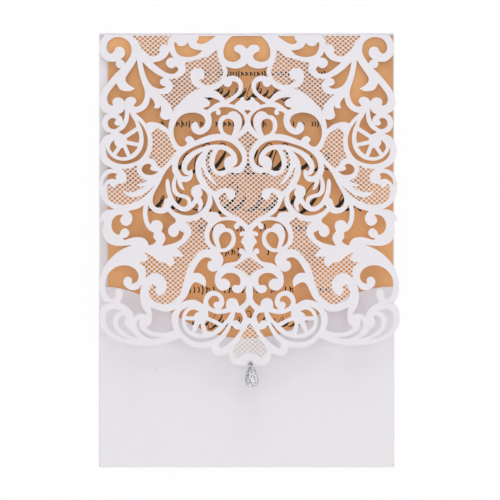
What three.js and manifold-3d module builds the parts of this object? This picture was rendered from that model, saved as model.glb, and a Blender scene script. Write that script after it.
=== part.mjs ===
// Invitation card: a pearl sheet folded into a back, a pocket and a lace flap, with a gold card inside.
// It lies on its back. X runs across the card, Y towards the top fold, Z up. All sizes are millimetres.
import * as THREE from "three";
import { ConvexGeometry } from "three/addons/geometries/ConvexGeometry.js";
import { mergeVertices } from "three/addons/utils/BufferGeometryUtils.js";
import Module from "manifold-3d";

const wasm = await Module();
wasm.setup();

// Card and paper
const CARD_WIDTH = 125;
const CARD_HEIGHT = 184;
const PAPER = 0.3;
const FOLD_INSIDE = 0.6; // inner radius of the top and bottom folds

// Pocket
const POCKET_SIDE_HEIGHT = 76.6; // from the bottom fold to the mouth, at the sides
const MOUTH_DIP = 21.9; // how far the mouth sinks at the middle
const MOUTH_FLAT = 28; // length of the flat reach of the mouth curve at the middle
const MOUTH_SHOULDER = 24.5; // the same at the sides
const TAB_WIDTH = 9; // glued tabs inside the pocket's sides
const GLUE_SINK = 0.05; // a glued tab shares this much of the back
const TAB_LAP = 0.4; // reach of a side fold's end inside the pocket's front
const TAB_INSET = 0.03;
const CORNER_SLIT = 0.4; // the side folds start this far above the bottom fold

// Inserted card
const INSERT_WIDTH = 120.6;
const INSERT_HEIGHT = 182;
const INSERT_SIDE_GAP = 0.25; // to the pocket's right side, where the card is pushed to
const INSERT_FOOT_GAP = 0.4;
const REST_GAP = 0.3; // between sheets that lie on each other

// Flap
const FLAP_LENGTH = 140.3;
const FLAP_LIFT = THREE.MathUtils.degToRad(3.7); // it springs up a little from the fold
const FLAP_RAKE = Math.tan(THREE.MathUtils.degToRad(0.62)); // it lies a little to the right
const LACE_SINK = 0.12; // the lace starts this far inside the end of its fold

// Lace drawing: half of the flap, across from its middle and down from its fold
const LACE_HALF_WIDTH = 62.5;
const LACE_LENGTH = 140.3;
const LATTICE_PITCH_ACROSS = 15.4;
const LATTICE_PITCH_DOWN = 13.37;
const LATTICE_START = 44.7;
const LATTICE_BAR = 0.42;
const CURVE_STEPS = 5; // between two drawn points, before the flat ones are dropped
const CHORD_TOLERANCE = 0.32; // the cut line may leave the drawn curve by this much

// Drop-shaped gem
const GEM_LENGTH = 10.8;
const GEM_WIDTH = 5.9;
const GEM_HEIGHT = 2.2;
const GEM_GIRDLE = 0.6;
const GEM_TABLE = 0.45; // size of the table against the girdle
const GEM_LAP = 1.8; // how far its point lies on the flap
const GEM_LEAN = THREE.MathUtils.degToRad(4.4);

const group = new THREE.Group();
group.name = "invitation_card";

const pearl = new THREE.MeshStandardMaterial({ color: 0xe8e3e9, roughness: 0.5, metalness: 0.05 });
const gold = new THREE.MeshStandardMaterial({ color: 0xd6a06c, roughness: 0.4, metalness: 0.35 });
const silver = new THREE.MeshStandardMaterial({ color: 0xc8c9cd, roughness: 0.12, metalness: 0.8 });

// A geometry as a closed solid for the unions and cuts
function toSolid(geometry) {
  const bare = new THREE.BufferGeometry();
  const source = geometry.index ? geometry.toNonIndexed() : geometry;
  bare.setAttribute("position", source.getAttribute("position"));
  const merged = mergeVertices(bare, 1e-4);
  const mesh = new wasm.Mesh({
    numProp: 3,
    vertProperties: new Float32Array(merged.attributes.position.array),
    triVerts: new Uint32Array(merged.index.array),
  });
  return new wasm.Manifold(mesh);
}

function toGeometry(solid) {
  const mesh = solid.getMesh();
  const geometry = new THREE.BufferGeometry();
  geometry.setAttribute("position", new THREE.BufferAttribute(mesh.vertProperties, 3));
  geometry.setIndex(new THREE.BufferAttribute(mesh.triVerts, 1));
  geometry.computeVertexNormals();
  return geometry;
}

function addMesh(name, geometry, material) {
  const mesh = new THREE.Mesh(geometry, material);
  mesh.name = name;
  group.add(mesh);
}

// Lace outlines. A point is [across, down], and TIP marks a sharp corner; the rest join smoothly.
const TIP = 1;

// The right edge of the flap from the fold to the tip
const flapEdge = [
  [60.3, 1.2, TIP], [61.4, 2.9], [62.1, 4.9], [62.3, 7.2],
  [61.7, 9.5], [60.2, 11.3], [58.2, 12.4], [55.1, 12.4, TIP], [55.5, 13.4], [54.7, 14.9],
  [53.2, 15.3, TIP], [55.6, 17.6], [58.6, 21.2], [60.8, 24.3], [62.1, 27.4], [62.4, 30.2],
  [61.8, 32.3], [60.6, 33.8], [58.8, 34.6, TIP], [60.2, 35.5], [61.2, 37.6], [61, 40.1],
  [59.8, 42], [57.4, 43, TIP], [59.6, 43.9], [61.4, 45.8], [62.4, 48.4], [62.4, 51.6],
  [61.3, 54.7], [59.5, 56.6], [56.7, 57.8, TIP], [59.2, 58.4], [61.2, 60.2], [62.3, 62.9],
  [62.5, 66], [61.9, 69.4], [60.7, 71.7], [58.9, 73.5], [56.3, 75, TIP], [59, 75.3],
  [61, 76.6], [62, 78.4], [62.4, 80.2, TIP], [60.5, 79.9, TIP], [61.1, 83.4], [60.9, 86],
  [59.6, 88.4], [57.6, 89.8], [54.4, 90.4], [48.6, 90, TIP], [52.6, 91.6], [56.4, 94.2],
  [59.4, 97.5], [61.3, 100.9], [62.4, 104.7], [62.5, 108.2], [62, 111.4], [60.8, 113.4],
  [56.4, 114.2, TIP], [60.6, 114.9], [62, 116.8], [62.5, 119.4], [62.4, 122.4], [61.4, 125], [59.4, 127.2], [56.6, 129.2],
  [52.6, 130.8], [48, 131.7], [43, 132], [38, 131.6], [33.2, 130.4], [28.8, 128.7, TIP],
  [27.2, 130.5], [24.6, 132], [21.4, 132.9], [18.6, 132.9], [16.1, 132.6, TIP], [15.7, 134.4],
  [14.4, 135.9], [12.2, 136.2], [8.7, 135.3, TIP], [8.5, 137.2], [7.6, 139], [5.8, 140],
  [3, 140.3], [0, 140.3],
];

// Openings that cross the middle: the right half of each, from axis to axis
const middleOpenings = [
  // crown scroll under the fold
  [
    [0, 1.4], [6.2, 1.5, TIP], [7.6, 2.9], [8.9, 4.7], [9.7, 6.8], [9.9, 8.6], [9.6, 10.4],
    [8.5, 11.8], [7.1, 12.4], [5.4, 12.5], [3.8, 11.9], [2.8, 10.9], [2.7, 9.7], [3.7, 8.6],
    [5, 8], [5.4, 6.8], [4.8, 5.7], [3.4, 5.2], [1.8, 5.4], [0, 6.9, TIP],
  ],
  // pillar below the crown
  [
    [0, 13, TIP], [0.8, 14.1], [2.2, 14.8], [4, 15.3], [6.6, 15.2], [9, 14.4, TIP],
    [8.3, 15.9], [8.3, 17.6], [8.9, 19, TIP], [7.4, 18.6], [5.8, 18.4], [4.2, 18.9],
    [2.8, 20], [1.9, 21.6], [1.8, 23.4], [2.3, 25.3], [3.4, 26.7], [5.7, 28.7],
    [8, 30.2, TIP], [5.5, 30.9, TIP], [4.6, 29.8], [3.4, 29], [2.6, 27.8], [1.5, 27.4, TIP],
    [1.2, 28.6], [0, 29.1],
  ],
  // small drop
  [[0, 33], [0.8, 33.1], [1.4, 33.5, TIP], [0, 35, TIP]],
  // drop above the lower heart
  [[0, 115, TIP], [2.1, 117.3, TIP], [0.8, 120.5, TIP], [0, 120.5]],
];

// Openings beside the middle, all of them on the right half
const sideOpenings = {
  foldWedge: [
    [13, 1.4, TIP], [20.3, 1.5, TIP], [20.4, 2.8], [21.3, 3.9, TIP], [20.3, 4.8], [18.4, 4.8],
    [16.5, 4], [14.7, 2.7],
  ],
  foldBoat: [
    [18.7, 7.6, TIP], [20.5, 7.5], [22.4, 7], [23.9, 6.2], [25.1, 4.2, TIP], [25.7, 5.2],
    [27.2, 5.8], [28.9, 5.5], [30, 4.1, TIP], [30.6, 4.2, TIP], [30.6, 5.8], [30, 7.8],
    [29, 9.3], [27.4, 10.1], [25, 10.5], [22.7, 10.2], [20.6, 9.4],
  ],
  hookLeaf: [
    [32.7, 8, TIP], [33.4, 9.5], [34.6, 10.9], [36.6, 12.1], [39.8, 12.8, TIP], [37.4, 14.9],
    [34.9, 16.7], [32.4, 17.6], [30.2, 17.3], [28.9, 15.7, TIP], [30, 14.3, TIP], [31.3, 15.2],
    [33, 14.9], [34.2, 13.2], [33.7, 11.6], [32.4, 10.8], [30.8, 10.6, TIP], [31.8, 9.8],
  ],
  sickleLeaf: [
    [44.2, 12.5, TIP], [43.7, 15], [43, 17.7], [41.8, 20.6], [40.1, 22.8], [37.7, 23.9],
    [35.8, 23.9], [34.1, 22.9, TIP], [35.7, 22.7], [36.8, 21.6], [36.5, 20.1], [35.1, 19.3, TIP],
    [38, 17.8], [41, 15.6], [42.8, 13.9],
  ],
  antler: [
    [46.5, 11.6, TIP], [47.7, 13.8], [49.6, 16.6], [51.1, 19], [51.2, 20.8], [49.8, 22.4],
    [47.4, 23.9, TIP], [49, 24.8], [51.3, 25], [53.7, 24.2], [55.3, 21.6, TIP], [57, 23.8],
    [58.6, 26.1], [59.2, 28.4], [58.5, 30.4], [57.4, 31.1], [56.5, 31, TIP], [56.9, 29.6],
    [56.1, 28.2], [54.5, 27.7], [53, 28.1], [51.7, 29.4, TIP], [50.9, 28.1], [49.2, 27.4],
    [47.6, 27.9], [46.8, 29.4], [48.1, 31.2, TIP], [46.9, 31.6], [45.2, 31], [43.9, 29.3],
    [43.2, 26.8], [43.4, 24.2], [44.4, 21.3], [45.4, 17.8], [46.1, 14.2],
  ],
  cornerScroll: [
    [51.3, 13.2, TIP], [49.8, 11], [48.8, 8.6], [48.9, 6], [50, 3.8], [52, 2.4], [54.4, 1.9],
    [57, 2.5], [58.7, 4.2], [59.3, 6.4], [58.7, 8.3], [57.3, 9], [56.1, 8], [55.4, 6.6],
    [54.1, 6], [52.5, 6.4], [51.5, 7.9], [51.7, 9.8], [53.2, 11.4, TIP], [52.2, 12],
  ],
  smallWing: [
    [3.6, 23], [4.1, 21.6], [5, 21], [6.3, 20.7, TIP], [6.5, 21.8], [7.3, 22.9], [8.4, 23.2],
    [9.4, 22.8], [10.1, 21.9, TIP], [11.1, 23], [12.5, 24], [14.5, 24.6, TIP], [12.6, 25.3],
    [10.9, 26.7], [9.3, 28.7, TIP], [7.4, 27.7], [5.6, 26.5], [4.1, 25],
  ],
  smallFin: [
    [11.2, 29.4, TIP], [12.9, 28.5], [15.2, 27.7], [18.7, 27.6, TIP], [16.6, 28.7], [15.7, 29.9],
    [16.3, 31.3], [18.8, 32.2, TIP], [17.2, 33.1, TIP], [15.6, 31.9], [13.5, 30.4],
  ],
  upperScroll: [
    [4.9, 43.5, TIP], [2.6, 41.2], [1.3, 38.8], [1.4, 36.3], [2.7, 34.3], [5, 32.7], [7.8, 31.9],
    [10.4, 31.8], [12.2, 32.3, TIP], [11.4, 33.4], [11.4, 34.7], [12.4, 35.2], [13.3, 34.6],
    [13.1, 33.4, TIP], [14.4, 33.7], [15.6, 34.6, TIP], [15.1, 37.2], [15.4, 39.6],
    [16.7, 41.8], [18.9, 43.2], [21.1, 43.4], [23.1, 42.2], [23.8, 40.3], [23.1, 38.6],
    [21.5, 38.2], [20.1, 41, TIP], [18.6, 39.9], [17.8, 37.9], [18.4, 36], [20.1, 34.7],
    [22.7, 34.1], [25.6, 34.4], [28.1, 35.6], [30, 37.9], [31.1, 40.8], [31.1, 44], [30, 46.9],
    [28.4, 48.5], [26.7, 48.3], [25.6, 47.1], [26.4, 45.5], [25.2, 44.2], [23.6, 44.4],
    [22.2, 46.1, TIP], [19.5, 44.9], [16.5, 43.8], [14, 43.3], [11.2, 43.1, TIP], [12.2, 41.4],
    [12.5, 39], [12, 37], [10.6, 35.5], [8.6, 35.1, TIP], [7.3, 33.9], [5.4, 33.6], [3.6, 34.7],
    [2.5, 36.7], [2.5, 39.3], [3.3, 41.6],
  ],
  upperBean: [
    [6.9, 43.9, TIP], [6.1, 42.1], [5.7, 40], [6, 38], [7.2, 36.9], [8.9, 36.8], [10.2, 37.8],
    [10.6, 39.8], [10.2, 41.8], [8.9, 43.2],
  ],
  archBand: [
    [6.6, 57.5, TIP], [4.2, 56.8], [2.7, 54.9], [2.6, 52.6], [3.6, 50.2], [5.4, 48.1], [8, 46.5],
    [11.2, 45.9], [14.8, 46.2], [18.8, 47.3], [22.8, 48.7], [26.4, 50.9], [28.7, 53.6],
    [29.5, 56.8], [28.7, 59.5], [27.1, 61.1], [24.6, 60.8, TIP], [26.6, 60.2], [27.8, 58.2],
    [27.7, 55.7], [26.2, 52.9], [23.7, 50.8], [20.4, 49.2], [16.4, 48], [12.5, 47.7],
    [9, 48.3], [6.2, 50.1], [4.6, 52.8], [4.7, 55.6],
  ],
  archPetal: [
    [7, 52.4, TIP], [8.6, 50.9], [10.3, 50], [11.8, 49.8], [12.8, 50.9], [13.9, 53.8],
    [14.1, 56.6], [13.3, 58.4], [11.6, 58.9], [9.4, 58.3, TIP], [10, 56.6], [10, 54.8],
    [8.9, 53.1],
  ],
  bellStem: [
    [18.9, 50.5, TIP], [21.2, 51.7], [23.4, 53.6], [25, 55.8], [25.8, 57.6], [25, 58.9],
    [23.6, 58.1, TIP], [23.2, 60.1], [23.9, 62.2], [25.6, 63.4], [27.9, 63.5, TIP], [27.4, 65.3],
    [26.7, 67.1, TIP], [28.4, 66.2], [29.5, 64.4], [30.1, 61.8, TIP], [30.4, 64.2],
    [30.2, 66.3], [29.2, 68], [27.3, 68.7], [25.5, 69.3], [24.4, 70.4], [24, 72.3, TIP],
    [23, 70.3], [23.9, 68.6], [24, 67], [23.2, 65.6], [21.8, 64.9], [20.2, 64.5, TIP],
    [21.4, 62.2], [22.1, 59.6], [22.1, 56.6], [21.3, 53.8],
  ],
  eyeCrescent: [
    [21.6, 72.3, TIP], [22.6, 73.6], [24, 75], [26, 75.9], [28.2, 75.8], [30.4, 74.6],
    [32, 73.1, TIP], [32.8, 74.1, TIP], [31.3, 75.8], [28.9, 77], [26.2, 77.6], [23.4, 77.5],
    [20.9, 76.4], [18.9, 74.5], [17.5, 72.2], [17.1, 69.8], [17.6, 68.1], [18.8, 66.9],
    [20.3, 66.1, TIP], [19.3, 67.5], [19.4, 69], [20.1, 70.1, TIP], [19.3, 71.4], [19.1, 73.4],
    [19.9, 75.2], [21.2, 76.1, TIP], [21.2, 74.8], [20.9, 73.5],
  ],
  eyeAndLobe: [
    [31.9, 55.9, TIP], [33.4, 57.5], [35.3, 60.2], [37.2, 64.1], [39.4, 68.1], [40.2, 70.8],
    [39.7, 73.2], [37.9, 74.4], [36.1, 74], [35.5, 72.4], [35, 70.9], [33.7, 70.1, TIP],
    [34.4, 67.7], [34.7, 65], [34.5, 62.9], [33.7, 62.2], [33.1, 63.4], [32.8, 65.4],
    [32.3, 67.8], [31.4, 70.2], [30, 72.3], [28.2, 73.7], [26.6, 73.9], [25.6, 72.6],
    [26, 71], [27.6, 70.3], [30, 69.5], [31.5, 68.2], [32.1, 66], [31.9, 63.4],
    [31, 60.9, TIP], [31.9, 58.6],
  ],
  innerCrest: [
    [40.9, 27.6, TIP], [41.6, 30.4], [42.9, 32.3], [44.7, 33.6], [47.1, 34.4, TIP],
    [44.6, 36.6], [42.8, 38.8, TIP], [40.9, 38.1], [38.4, 38.4], [35.9, 39.3], [33.4, 41.2, TIP],
    [33.2, 38.9], [32.6, 36.8, TIP], [34.5, 37.2], [36.2, 36.5], [36.9, 35.2], [36.4, 33.2],
    [36.5, 31, TIP], [37.5, 32.3], [39.5, 32.1, TIP], [39, 30.8], [39.6, 29],
  ],
  tinyThorn: [
    [51.7, 32.2, TIP], [52.6, 33.9], [54.4, 34.9, TIP], [53, 36], [52.4, 38, TIP], [51.7, 35.6],
  ],
  wheelFan: [
    [49.8, 33.9, TIP], [50, 36.6], [50.6, 38.7], [52.1, 40.9], [54.4, 42.4, TIP],
    [52, 43.6, TIP], [49.4, 41.9], [46.8, 40.2, TIP], [47.6, 37.8], [49, 35.5],
  ],
  sideHook: [
    [55.3, 37, TIP], [56.6, 36.4], [58.1, 36.9], [58.9, 38.3], [58.7, 39.8], [57.5, 40.9],
    [55.7, 41.1], [53.3, 39.4, TIP], [54.9, 39.7], [56.1, 38.7],
  ],
  wheelRim: [
    [46.3, 37.3, TIP], [44.5, 39.2], [43, 41.8], [42.1, 45], [42.2, 48.4], [43.4, 51.5],
    [45.5, 54], [48.4, 55.4], [51.8, 56], [55, 55.6], [57.8, 54.2], [59.5, 51.8],
    [59.9, 48.4, TIP], [58.9, 50.8], [57.1, 52.9], [54.6, 54.2], [51.6, 54.5], [48.4, 53.6],
    [45.9, 51.6], [44.3, 48.8], [43.8, 45.4], [44.4, 41.4],
  ],
  wheelWindowA: [
    [46.2, 41.9, TIP], [51, 45, TIP], [50.9, 45.9, TIP], [45.9, 47, TIP], [45.6, 44.6],
  ],
  wheelWindowB: [[46.2, 48.6, TIP], [51.2, 47.6, TIP], [49.4, 52, TIP], [47.6, 50.6]],
  wheelWindowC: [
    [52.4, 49.1, TIP], [53.2, 49.1, TIP], [55.4, 52.3, TIP], [53.4, 53], [50.8, 52.9, TIP],
  ],
  wheelWindowD: [
    [56.1, 45.6, TIP], [57.6, 47.3], [58, 49.3], [56.8, 51.3, TIP], [55, 48.8, TIP],
    [56, 47.4],
  ],
  smallHook: [
    [40.6, 56.3, TIP], [42.2, 55.8], [43.8, 56.5], [44.7, 58.2], [43.9, 59.8], [42, 60.5],
    [39.7, 60.4], [37.6, 59, TIP], [39.6, 58.9], [41.2, 58.2, TIP],
  ],
  sideWing: [
    [55, 60.1, TIP], [57.1, 59.7], [59.3, 60.7], [60.6, 62.4], [61, 65.3, TIP], [59.6, 63.3],
    [57.6, 62.2], [55.3, 62.5, TIP], [55.7, 61.3],
  ],
  heartCorner: [
    [15.4, 69, TIP], [15, 71.4], [15.6, 73.8], [16.9, 76.1, TIP], [14.6, 76.1], [12.8, 76.6],
    [11.7, 78.4, TIP], [8.7, 78.1, TIP], [10.8, 76.8], [12.8, 74.4], [14.3, 71.2],
  ],
  ringRegion: [
    [4.7, 80.4, TIP], [6.6, 79.8], [8.9, 79.6], [11.3, 79.9], [13.5, 80.9], [15.3, 82.7],
    [16.4, 85], [16.4, 87.6], [15.4, 89.7], [13.5, 91, TIP], [14.6, 88.7], [15.2, 86.2],
    [14.9, 83.7], [13.7, 81.8], [11.9, 81], [10.4, 81.6], [9.4, 82.8], [7.7, 83.2],
    [6.4, 84.3], [5.6, 86.2], [5.5, 88.3], [6.2, 90.3], [7.7, 91.9], [9.8, 92.9],
    [12.4, 93.1, TIP], [11.1, 94.8], [10.8, 96.9], [11.8, 99.1, TIP], [9.8, 97.8], [7.4, 97.3],
    [5.4, 96.9], [3.9, 95.6], [3, 94, TIP], [4.1, 93.5], [4.3, 92.3], [3.3, 91.4],
    [2.1, 92], [1.3, 93.5, TIP], [1.8, 91.5], [2.3, 90.1], [3.3, 88.9], [2.9, 87.7],
    [1.9, 85.9, TIP], [3.3, 86.3], [3.9, 85.5], [3.2, 84.5], [1.5, 84.2, TIP], [2.3, 82.8],
    [3.9, 81.7, TIP], [4.3, 83], [5.4, 83.4], [6.2, 82.4], [5.8, 81.2],
  ],
  ringDrop: [
    [9.3, 84.5], [10.9, 84.9], [12.1, 86.3], [12.5, 88.2], [11.6, 91.6, TIP], [9.6, 91.1],
    [7.9, 89.2], [7.2, 87.1], [7.8, 85.3],
  ],
  bulbRegion: [
    [33.8, 76, TIP], [36, 76.8], [38.7, 76.5], [40.9, 75], [41.9, 73.1, TIP], [42.4, 76],
    [42.1, 79.2], [41.2, 81.5, TIP], [40.2, 80], [38.3, 79.6], [36.6, 80.4], [36, 82.3],
    [36.6, 84.2, TIP], [35.3, 85.8], [35, 87.8], [36.4, 90.4, TIP], [33.4, 89.8],
    [30.4, 88.9], [28.2, 87.4], [27, 85, TIP], [29.2, 83.8, TIP], [29.5, 85.4], [30.9, 86.6],
    [32.7, 86.3], [33.8, 84.5], [33.1, 82.3], [30.6, 80.5, TIP], [30.7, 79.1], [32.1, 77.8],
  ],
  cloudRegion: [
    [43.9, 73.3, TIP], [46.4, 74.7], [50.4, 75.8, TIP], [49.1, 77.3], [48.7, 79.3],
    [49.7, 81.3], [51.5, 82], [53.2, 81.1], [53.8, 79.3], [52.6, 77.3, TIP], [54.8, 77.4],
    [56.6, 78.8], [57.5, 81.1], [57.2, 83.4], [56, 85.1], [54.3, 85.7], [53.6, 84.2],
    [52, 83], [50.4, 83.8], [50.1, 85.3], [51, 86.7], [53, 87.2, TIP], [51.9, 87.9],
    [49.7, 87.2], [46.7, 86.7], [44, 87.2], [42.4, 88.7], [41.9, 90.2, TIP], [40.1, 89.6],
    [38.9, 88.3], [39.9, 87], [39.8, 84.8, TIP], [41.7, 83.8], [43.2, 81.8], [44.1, 79],
    [44.3, 75.9],
  ],
  cornerArm: [
    [44.9, 106.4, TIP], [46.3, 108.3], [48.5, 108.9], [50.7, 108.3], [52.3, 106.7],
    [52.5, 104.8], [51.3, 103.4], [49.7, 103.6], [48.9, 104.9], [49.2, 106.3, TIP],
    [47.3, 105.6], [46.3, 104], [46.5, 101.8], [48.1, 99.8], [50.6, 98.7], [53.6, 98.6],
    [56.6, 99.8], [58.9, 102.1], [60.1, 105.2], [60, 108.2], [59.5, 110.5], [58.5, 112.1],
    [57, 112.5], [56, 111.7], [56.1, 110.3], [55.7, 109], [54.5, 108.4], [53.3, 109],
    [52.9, 110.4], [53.3, 112.1], [54.2, 114.2, TIP], [52, 115.2], [50, 116.8], [48.8, 118.5],
    [48.4, 120.2, TIP], [46.2, 118.8],
    [42.8, 119, TIP], [44.6, 116.1], [45.6, 112.8], [45.6, 109.4],
  ],
  lowerVine: [
    [3.7, 105.2], [4.2, 103.4], [5.7, 102.1], [7.8, 101.7], [9.9, 102.1], [12.1, 104.2, TIP],
    [10.1, 104.1], [8.5, 105.2], [8, 106.9], [8.9, 108.4], [10.8, 109.1], [12.8, 108.5],
    [14.1, 106.7], [14.4, 104.3], [14, 102.1], [13, 100.5, TIP], [14.8, 101.2], [16.6, 100.6],
    [17.5, 98.9], [16.9, 97], [15.3, 96.4, TIP], [16.4, 95.5], [18.3, 95.2], [20.1, 96.2],
    [21.9, 98.7], [23.5, 101.7, TIP], [21, 101.8], [19.1, 103.1], [18.1, 105.3],
    [18.5, 107.7, TIP], [20.3, 106.3], [22.5, 105.6], [24, 106.7], [25.2, 109.4],
    [26.6, 112.1], [28.5, 114.1, TIP], [25.8, 113.1], [22.7, 113], [19.3, 114.8, TIP],
    [19.1, 112.6], [18, 110.5], [16, 109.2], [13.8, 109.4], [11.8, 110.6], [10.7, 112.6],
    [10.7, 115], [12.1, 117, TIP], [9.8, 116.5, TIP], [9.8, 114.3], [8.9, 112.7],
    [7, 112.2], [5.2, 113.1], [4.3, 115.7, TIP], [2.2, 114], [1.3, 112], [1.6, 109.6],
    [1.3, 106.8, TIP], [2.6, 108.7], [4, 110], [6, 110], [7.3, 108.8], [6.9, 107.2],
    [5.4, 106.7], [4.2, 106.8],
  ],
  ringCurl: [
    [12.6, 113.3], [13.1, 111.9], [14.6, 111.2], [16.3, 111.9], [17.3, 113.6], [16.6, 115.6],
    [14.2, 116.9, TIP], [15.1, 115.2], [14.4, 113.9], [13.2, 113.8],
  ],
  ringBase: [
    [7.8, 118, TIP], [10.6, 118.7], [13.8, 118.8], [17.3, 117.5, TIP], [17.3, 120, TIP],
    [14.4, 121.3], [11.5, 122.8, TIP], [9.4, 120.7],
  ],
  tipPetal: [
    [3, 119.8], [3.9, 118.5], [6.1, 118.2, TIP], [6.3, 119.9], [7, 121.7, TIP], [5.2, 121.5],
    [3.9, 123, TIP], [3.1, 121.6],
  ],
  tipStem: [
    [7.6, 123.6, TIP], [9, 126.4], [10.8, 129.2], [12.9, 131.4], [12.6, 133.3, TIP],
    [9.6, 131.8], [6.4, 128.8], [3.8, 125.5, TIP], [6, 125],
  ],
  lowWheelRim: [
    [8.5, 121.9, TIP], [10, 124.9], [12.4, 127.8], [15.6, 129.8], [19.6, 130.6], [23.6, 130.1],
    [27, 128], [29.2, 124.8], [29.8, 121.2], [28.7, 117.8], [25.3, 115.7, TIP], [27.3, 117.7],
    [28.3, 120.6], [27.9, 124], [26, 126.9], [22.8, 128.6], [19.2, 128.9], [15.6, 128.2],
    [12.4, 126.3], [10.1, 123.9],
  ],
  lowWheelWindowA: [
    [21, 117.8, TIP], [23.2, 117], [25.3, 117.7], [26.7, 119.8, TIP], [23.4, 119.9, TIP],
    [22.5, 118.5],
  ],
  lowWheelWindowB: [[22.9, 121.6, TIP], [27, 121.4, TIP], [26, 124.4], [24.2, 126.1, TIP]],
  lowWheelWindowC: [[20.6, 122.7, TIP], [23, 126.7, TIP], [19.6, 127.4, TIP]],
  lowWheelWindowD: [
    [12.9, 124, TIP], [15.5, 122.5], [18.2, 121.5, TIP], [18.7, 123], [17.8, 125.9, TIP],
    [15.6, 126.1],
  ],
  lowWindow: [
    [31, 116.6, TIP], [33.2, 117.8], [37, 117.6], [41.3, 116, TIP], [40.7, 119.4], [41.1, 122.6],
    [43.1, 124.6, TIP], [40.6, 126.2], [36.4, 126.7], [31.6, 125.8, TIP], [32.4, 122.4],
    [32.4, 119.1],
  ],
  lowCrescent: [
    [46.2, 120.8, TIP], [47.3, 123.4], [46.2, 126.2], [43.6, 128.3], [39.8, 129.3],
    [35.7, 128.5, TIP], [39.4, 128.2], [43, 127], [45.7, 124.6],
  ],
  lobeRim: [
    [53.4, 117.6, TIP], [56.2, 116.7], [58.6, 117.2], [60, 118.9], [60.3, 121.5], [59.3, 124.5],
    [56.8, 127.1], [53, 128.9], [49.2, 129.5, TIP], [52.9, 127.9], [55.5, 125.7], [56.9, 123],
    [56.9, 120.5], [55.8, 118.7],
  ],
  lobeHollow: [
    [53.9, 119.9, TIP], [52.5, 119.4], [51.7, 120.3], [52.3, 121.8], [51.9, 123.5],
    [50, 125.2], [48.6, 127], [45.6, 129.3, TIP], [49.4, 128.2], [52.4, 126.5], [54.5, 124.3],
    [55, 121.9],
  ],
};

// Lattice fields that cross the middle: right halves again
const middleFields = [
  // upper heart
  [
    [0, 41.8, TIP], [1, 43], [2.8, 44.3], [4.8, 45.4, TIP], [2.8, 47.4], [1.3, 49.4],
    [0.6, 51.6], [0.5, 54.4], [1.2, 57.2], [2.6, 59], [4.6, 59.9], [7.6, 59.5],
    [10.4, 61], [12.8, 60.6], [14.8, 59.1], [16.1, 56.8], [16.2, 53.9], [15.4, 51.5],
    [14.2, 49.6, TIP], [16.1, 50.3], [17.4, 52.7], [17.7, 55.4], [17, 58.5], [15.7, 61],
    [14, 63.3], [12.7, 65.1, TIP], [14.6, 64.2], [16.4, 62.6], [18, 60.3], [19, 58.4],
    [19.6, 56.7, TIP], [19.6, 58.8], [18.9, 61.1], [17.6, 63.6], [16, 66], [13.9, 67.7, TIP],
    [12.1, 66.5], [9.8, 66], [7.4, 66.4], [5.8, 67.8], [5.6, 69.4], [6.6, 70.6],
    [7.9, 71, TIP], [9.1, 69.5], [9.5, 68.2, TIP], [11, 68.2], [12.3, 69.7], [12.1, 72],
    [10.2, 74.5], [6.8, 77.1], [2.8, 79.4], [0, 81.9, TIP],
  ],
  // small shield
  [
    [0, 94.9, TIP], [2.4, 96.6], [6.3, 99.4, TIP], [3, 100.8], [0, 103.4, TIP],
  ],
  // lower heart at the tip
  [
    [0, 122.8, TIP], [1.9, 125.3], [3.8, 128.6], [6, 131.3], [7, 134.2], [6.2, 136.9],
    [4.4, 137.4], [2.2, 135.8], [0, 135, TIP],
  ],
];

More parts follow.
